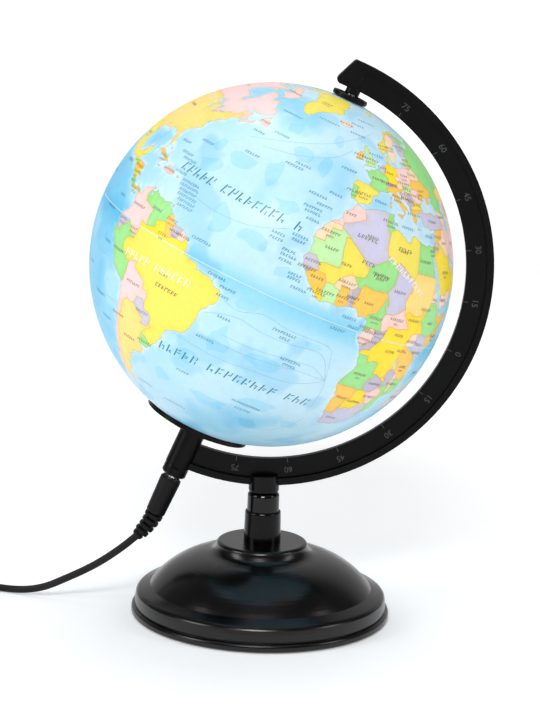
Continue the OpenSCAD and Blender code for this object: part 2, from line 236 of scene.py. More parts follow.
def moulded(name, dark, light, roughness, grain, grain_depth, blotch=60, **sockets):
    """Moulded plastic, rubber or painted metal: two close tones in soft blotches, a roughness
    that drifts with them, and a fine grain."""
    material, tree, bsdf = shader(name, sockets)
    cloud = noise_of(tree, blotch)
    tree.links.new(ramp_of(tree, cloud, [(0.35, dark), (0.65, light)]), bsdf.inputs["Base Color"])
    tree.links.new(ranged(tree, cloud, *roughness), bsdf.inputs["Roughness"])
    tree.links.new(bump_of(tree, noise_of(tree, grain, 3), grain_depth), bsdf.inputs["Normal"])
    return material


STREAK_SCALE, STREAK_DETAIL, STREAK_DEPTH = 90, 5, 0.00002
STREAK_TONES = (0.3, 0.7)


def brushed(name, dark, light, roughness, streaks):
    """Bare metal with fine turning marks across Z."""
    material, tree, bsdf = shader(name, {"Metallic": 1.0})
    mapping = tree.nodes.new("ShaderNodeMapping")
    mapping.inputs["Scale"].default_value = (1, 1, streaks)
    tree.links.new(coordinates(tree), mapping.inputs["Vector"])
    marks = tree.nodes.new("ShaderNodeTexNoise")
    marks.inputs["Scale"].default_value = STREAK_SCALE
    marks.inputs["Detail"].default_value = STREAK_DETAIL
    tree.links.new(mapping.outputs["Vector"], marks.inputs["Vector"])
    streak = marks.outputs["Fac"]
    tones = ramp_of(tree, streak, list(zip(STREAK_TONES, (dark, light))))
    tree.links.new(tones, bsdf.inputs["Base Color"])
    tree.links.new(ranged(tree, streak, *roughness), bsdf.inputs["Roughness"])
    tree.links.new(bump_of(tree, streak, STREAK_DEPTH), bsdf.inputs["Normal"])
    return material


# The object's finishes: two tones, a roughness range, a grain and its depth in metres
BASE_BLACK = moulded("base_black", srgb(4, 4, 4), srgb(8, 7, 7), (0.2, 0.27), 900, 0.000012,
                     **{"Specular IOR Level": 0.5, "Specular Tint": (0.9, 0.86, 0.85, 1)})
STEM_BLACK = moulded("stem_black", srgb(3, 3, 4), srgb(5, 5, 6), (0.16, 0.22), 1200, 0.000015,
                     **{"Specular IOR Level": 0.18})
COLLAR_BLACK = moulded("collar_black", srgb(5, 5, 7), srgb(9, 9, 11), (0.08, 0.13), 700, 0.00001,
                       **{"Specular IOR Level": 0.3})
ARM_BLACK = moulded("arm_black_plastic", srgb(4, 4, 5), srgb(8, 8, 9), (0.3, 0.4), 1600, 0.00003,
                    **{"Specular IOR Level": 0.14})
# The numbers and ticks are the arm's own black plastic: their grey is a painted highlight for the light their
# raised edges catch
ARM_MARKS_PAINTED_HIGHLIGHT = moulded("arm_marks_painted_highlight", srgb(52, 52, 54), srgb(68, 68, 70), (0.3, 0.42), 1500, 0.00003)
PLUG_BLACK = moulded("plug_pvc_black", srgb(10, 9, 9), srgb(17, 16, 15), (0.42, 0.56), 1500, 0.00006,
                     **{"Specular IOR Level": 0.22})
LEAD_BLACK = moulded("lead_pvc_black", srgb(12, 11, 10), srgb(22, 20, 19), (0.3, 0.42), 900, 0.00004,
                     **{"Specular IOR Level": 0.3})
ADAPTER_BLACK = moulded("adapter_black", srgb(18, 18, 20), srgb(26, 26, 28), (0.5, 0.66), 700, 0.0001)
PAD_GREY = moulded("pad_felt", srgb(40, 41, 45), srgb(62, 63, 68), (0.85, 0.95), 2400, 0.0003,
                   **{"Sheen Weight": 0.4})
PLATE_BLACK = moulded("plate_black", srgb(24, 24, 27), srgb(34, 34, 37), (0.45, 0.6), 800, 0.00005)
LAMP_WHITE = moulded("lamp_white_plastic", srgb(222, 221, 214), srgb(238, 237, 231), (0.35, 0.5), 900,
                     0.00003)
DIFFUSER = moulded("lamp_opal", srgb(236, 236, 230), srgb(248, 248, 243), (0.45, 0.6), 500, 0.00003,
                   **{"Subsurface Weight": 0.3, "Subsurface Radius": (0.004, 0.004, 0.004)})
BOARD_WHITE = moulded("led_board_mask", srgb(224, 226, 228), srgb(240, 241, 242), (0.3, 0.45), 1800, 0.00003)
LED_YELLOW = moulded("led_phosphor", srgb(240, 214, 104), srgb(250, 232, 146), (0.3, 0.42), 2500, 0.00003)
WIRE_RED = moulded("wire_red", srgb(168, 36, 30), srgb(196, 56, 44), (0.35, 0.5), 1500, 0.00003)
BALL_INSIDE = moulded("ball_white_styrene", srgb(214, 230, 236), srgb(228, 240, 245), (0.3, 0.42), 800,
                      0.00003)
BOARD_GREEN = moulded("circuit_board_green", srgb(34, 92, 52), srgb(52, 122, 72), (0.35, 0.5), 1800, 0.0001)
BALLAST = moulded("ballast_cast", srgb(70, 71, 74), srgb(104, 105, 110), (0.55, 0.75), 500, 0.0004,
                  **{"Metallic": 0.8})
ZINC = brushed("zinc_plate", srgb(150, 152, 156), srgb(196, 198, 203), (0.22, 0.36), 14)
NICKEL = brushed("nickel_plate", srgb(178, 176, 172), srgb(226, 224, 220), (0.1, 0.2), 30)

SLOT_LOOKS = {
    "base_gloss": BASE_BLACK, "arm_black": ARM_BLACK, "pad": PAD_GREY, "zinc_steel": ZINC,
    "ballast": BALLAST, "ball_print": BALL_INSIDE, "ball_ring": BALL_INSIDE, "lamp_white": LAMP_WHITE,
    "led_board": BOARD_WHITE, "led_die": LED_YELLOW, "wire": WIRE_RED, "nickel": NICKEL,
    "plug_pvc": PLUG_BLACK, "lead_pvc": LEAD_BLACK, "adapter_case": ADAPTER_BLACK,
    "adapter_pcb": BOARD_GREEN,
}
NODE_LOOKS = {
    "stem_sleeve": STEM_BLACK, "stem_collar": COLLAR_BLACK, "stem_saddle": STEM_BLACK,
    "lamp_diffuser": DIFFUSER, "base_plate": PLATE_BLACK,
}


def dress(target, material):
    """Gives an object one material in place of any it has."""
    target.data.materials.clear()
    target.data.materials.append(material)

# ---------------------------------------------------------------- plug

RELIEF_LENGTH = 17 * MM
RELIEF_TURN = radians(27)
RELIEF_CORE = 2.7 * MM
RELIEF_WIDTHS = (5.3 * MM, 4.3 * MM)
RELIEF_RINGS = 4
RELIEF_SIDES = 24
# How far a ring's outline is from a circle (0) towards a square (1)
RING_SQUARENESS = 0.4
# Along the relief, in ring spacings: the start of a ring, its length, and the room for the block
RING_START, RING_SPAN, BLOCK_SPAN = 0.25, 0.56, 0.6
RING_EDGE, RING_CHAMFER = 0.02, 0.3 * MM
BLOCK_PROFILE = [(0.9, RELIEF_CORE), (0.91, 3.4 * MM), (1.0, 3.2 * MM), (1.03, 2.7 * MM)]
PLUG_FACE, PLUG_END = -133.5 * MM, -155.5 * MM
MOUTH_TEETH = 10
TOOTH_ENDS = (PLUG_FACE - 0.6 * MM, PLUG_FACE + 0.4 * MM)
# The inner and the outer face of a tooth, each as a radius and half an angle
TOOTH_INNER, TOOTH_OUTER = (4.5 * MM, 0.15), (5.55 * MM, 0.13)


def on_relief(t, offset, lift):
    """A point beside the relief's bent centreline, t of the way along it."""
    turn = RELIEF_TURN * t
    bend_r = RELIEF_LENGTH / RELIEF_TURN
    along = Vector((-bend_r * (1 - cos(turn)), 0, PLUG_END - bend_r * sin(turn)))
    return POLAR @ (along + Vector((cos(turn), 0, -sin(turn))) * offset + Vector((0, lift, 0)))


def relief_profile():
    """Places along the relief, each with its half width there: a core with rings, and a block."""
    spacing = 1 / (RELIEF_RINGS + BLOCK_SPAN)
    profile = [(-RING_EDGE, RELIEF_CORE)]
    for k in range(RELIEF_RINGS):
        start, end = (k + RING_START) * spacing, (k + RING_START + RING_SPAN) * spacing
        size = RELIEF_WIDTHS[0] + (RELIEF_WIDTHS[1] - RELIEF_WIDTHS[0]) * k / (RELIEF_RINGS - 1)
        cut = size - RING_CHAMFER
        profile += [(start - RING_EDGE, RELIEF_CORE), (start, cut), (start + RING_EDGE, size),
                    (end - RING_EDGE, size), (end, cut), (end + RING_EDGE, RELIEF_CORE)]
    return profile + BLOCK_PROFILE


def make_relief():
    """Open strain relief: a core, squarish rings round it, and a block at its end."""
    rings = []
    for t, size in relief_profile():
        ring = []
        for k in range(RELIEF_SIDES):
            angle = 2 * pi * k / RELIEF_SIDES
            square = max(abs(cos(angle)), abs(sin(angle))) ** RING_SQUARENESS
            ring.append(on_relief(t, size * cos(angle) / square, size * sin(angle) / square))
        rings.append(ring)
    mesh = sweep("relief", rings)
    mesh.shade_flat()
    relief = new_object("relief", mesh, "stand")
    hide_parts("plug_relief")
    dress(relief, PLUG_BLACK)


def make_plug_mouth():
    """A crown of small teeth round the plug's mouth."""
    work = bmesh.new()
    sides = [(TOOTH_INNER, -1), (TOOTH_OUTER, -1), (TOOTH_OUTER, 1), (TOOTH_INNER, 1)]
    for k in range(MOUTH_TEETH):
        middle = 2 * pi * k / MOUTH_TEETH
        ends = []
        for z in TOOTH_ENDS:
            corners = [(radius, middle + side * swing) for (radius, swing), side in sides]
            ends.append([POLAR @ Vector((r * cos(angle), r * sin(angle), z)) for r, angle in corners])
        add_block(work, *ends)
    mouth = new_object("plug_mouth", mesh_of("plug_mouth", work), "stand")
    dress(mouth, PLUG_BLACK)


make_relief()
make_plug_mouth()

# ---------------------------------------------------------------- lead

LEAD_WIDTH = 4.2 * MM
LEAD_LOBE_R = 1.15 * MM
RUN_ROUTE = [(-69.5, 0, 43.8), (-72, 0, 41.4), (-80, 1, 34.3), (-90, 3, 26.4), (-100, 6, 19.6),
             (-111, 9, 13.2), (-123, 12.5, 6.8), (-134, 16, 3.4), (-145, 19.5, 2.2),
             (-156, 23.5, 2.2), (-168, 28.5, 2.4), (-179, 32, 2.8), (-190, 33.2, 3)]
TAIL_ROUTE = [(-190, 33.2, 7.4), (-201, 33.2, 7.6), (-212, 33, 8), (-223, 30.8, 8.6),
              (-233, 26, 9), (-240.5, 19, 9), (-245, 11.5, 9), (-246, 7, 9)]
COIL_MID = Vector((-190, 5, 0))
COIL_TURNS = 8
COIL_R = 28.2
COIL_PITCH = 2.4
COIL_LAYERS = (3.05, 7.35)
COIL_STEPS = 44
# Turns over which the coil climbs to its upper layer
COIL_CLIMB = 0.5
ROUTE_STEPS = 4
# The lead's section: half its thickness between the cores, and the arc round each in degrees
VALLEY_HALF = 0.82 * MM
LOBE_SPAN, LOBE_STEP = 110, 22


def coil_line():
    """Flat turns inward on the table, then as many outward on top of them."""
    half = COIL_TURNS / 2
    line = []
    for i in range(1, COIL_TURNS * COIL_STEPS):
        turn = i / COIL_STEPS
        radius = COIL_R - COIL_PITCH * min(turn, COIL_TURNS - turn)
        rise = min(max((turn - half + COIL_CLIMB / 2) / COIL_CLIMB, 0), 1)
        rise = rise * rise * (3 - 2 * rise)
        height = COIL_LAYERS[0] + (COIL_LAYERS[1] - COIL_LAYERS[0]) * rise
        angle = pi / 2 + 2 * pi * turn
        line.append(COIL_MID + Vector((radius * cos(angle), radius * sin(angle), height)))
    return line


def twin_section():
    """The flat twin lead's outline as (across, along its width): two round cores and a valley."""
    offset = LEAD_WIDTH / 2 - LEAD_LOBE_R
    lobe = [radians(a) for a in range(-LOBE_SPAN, LOBE_SPAN + 1, LOBE_STEP)]
    top = [(LEAD_LOBE_R * sin(a), offset + LEAD_LOBE_R * cos(a)) for a in reversed(lobe)]
    half = [(VALLEY_HALF, 0)] + top
    return half + [(-x, -y) for x, y in half]


def make_lead():
    """The whole lead as one swept piece, from the strain relief through the coil to the adapter."""
    run = through([Vector(p) for p in RUN_ROUTE], ROUTE_STEPS)
    tail = through([Vector(p) for p in TAIL_ROUTE], ROUTE_STEPS)
    line = [p * MM for p in run[:-1] + coil_line() + tail[1:]]
    section = twin_section()
    rings = []
    for i, p in enumerate(line):
        along = (line[min(i + 1, len(line) - 1)] - line[max(i - 1, 0)]).normalized()
        across = along.cross(Vector((0, 0, 1))).normalized()
        width = across.cross(along)
        rings.append([p + across * x + width * y for x, y in section])
    mesh = sweep("lead", rings)
    lead = new_object("lead", mesh, "stand")
    dress(lead, LEAD_BLACK)
    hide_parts("cord_run", "cord_coil", "cord_tail")


make_lead()

# ---------------------------------------------------------------- CAD pieces

for subpart in frame["record"]["subparts"]:
    name = subpart["node"]
    dress(nodes[name], NODE_LOOKS.get(name, SLOT_LOOKS[subpart["material_slot"]]))

# ---------------------------------------------------------------- arm scale and softened edges

ARM_DROP = 1.5 * MM
WEB_HALF = 2 * MM
SCALE_STEP, SCALE_MARKS = 15, 12
NUMERAL_R = 114.6 * MM
NUMERAL_SIZE = 4.7 * MM
NUMERAL_RISE = 0.14 * MM
NUMERAL_BEVEL = 0.03 * MM
TICK_RISE = 0.34 * MM
TICK_R = (108.1 * MM, 110.7 * MM)
TICK_HALF = 0.2 * MM


def arm_frame(lat, radius, face):
    """A frame on the arm's web: +Y outward from the ball, and +Z out of the front or back face."""
    up = radians(lat)
    outward = Vector((cos(up), 0, sin(up)))
    normal = Vector((0, face, 0))
    place = Matrix((outward.cross(normal), outward, normal)).transposed().to_4x4()
    place.translation = outward * radius + normal * WEB_HALF - Vector((0, 0, ARM_DROP))
    return POLAR @ place


def numeral(value):
    """The mesh of a raised number, centred on its own middle."""
    curve = bpy.data.curves.new("numeral", "FONT")
    curve.body = str(value)
    curve.size = NUMERAL_SIZE
    curve.extrude = NUMERAL_RISE
    curve.bevel_depth = NUMERAL_BEVEL
    curve.resolution_u = 3
    curve.align_x, curve.align_y = "CENTER", "CENTER"
    pattern = bpy.data.objects.new("numeral", curve)
    mesh = bpy.data.meshes.new_from_object(pattern)
    bpy.data.objects.remove(pattern)
    return mesh


def make_arm_scale():
    """Numbers and ticks every 15 degrees of latitude, raised on both faces of the web, and painted grey as a
    painted highlight on the arm's black plastic.
    """
    work = bmesh.new()
    near, far = TICK_R
    outline = [(-TICK_HALF, near), (TICK_HALF, near), (TICK_HALF, far), (-TICK_HALF, far)]
    for step in range(SCALE_MARKS):
        lat = 90 - SCALE_STEP * step
        mesh = numeral(abs(lat))
        for face in (-1, 1):
            copy = mesh.copy()
            copy.transform(arm_frame(lat, NUMERAL_R, face))
            work.from_mesh(copy)
            bpy.data.meshes.remove(copy)
            tick = arm_frame(lat, 0, face)
            ends = [[tick @ Vector((x, y, z)) for x, y in outline] for z in (-TICK_RISE, TICK_RISE)]
            add_block(work, *ends)
    scale = new_object("arm_scale", mesh_of("arm_scale", work), "stand")
    dress(scale, ARM_MARKS_PAINTED_HIGHLIGHT)


EDGE_WIDTHS = {
    "base_shell": 0.5, "meridian_arm": 0.35, "stem_sleeve": 0.5, "stem_collar": 0.4, "stem_saddle": 0.4,
    "south_cover": 0.3, "dc_jack": 0.3, "jack_nut": 0.25, "pole_bush": 0.3,
}
EDGE_SEGMENTS, EDGE_ANGLE = 2, radians(35)


def soften(name, width):
    """Rounds a CAD piece's sharp edges, as moulding and paint do."""
    bevel = nodes[name].modifiers.new("soft_edges", "BEVEL")
    bevel.width = width
    bevel.segments = EDGE_SEGMENTS
    bevel.limit_method = "ANGLE"
    bevel.angle_limit = EDGE_ANGLE
    bevel.harden_normals = False


make_arm_scale()
for piece_name, edge in EDGE_WIDTHS.items():
    soften(piece_name, edge * MM)
# ---------------------------------------------------------------- the atlas

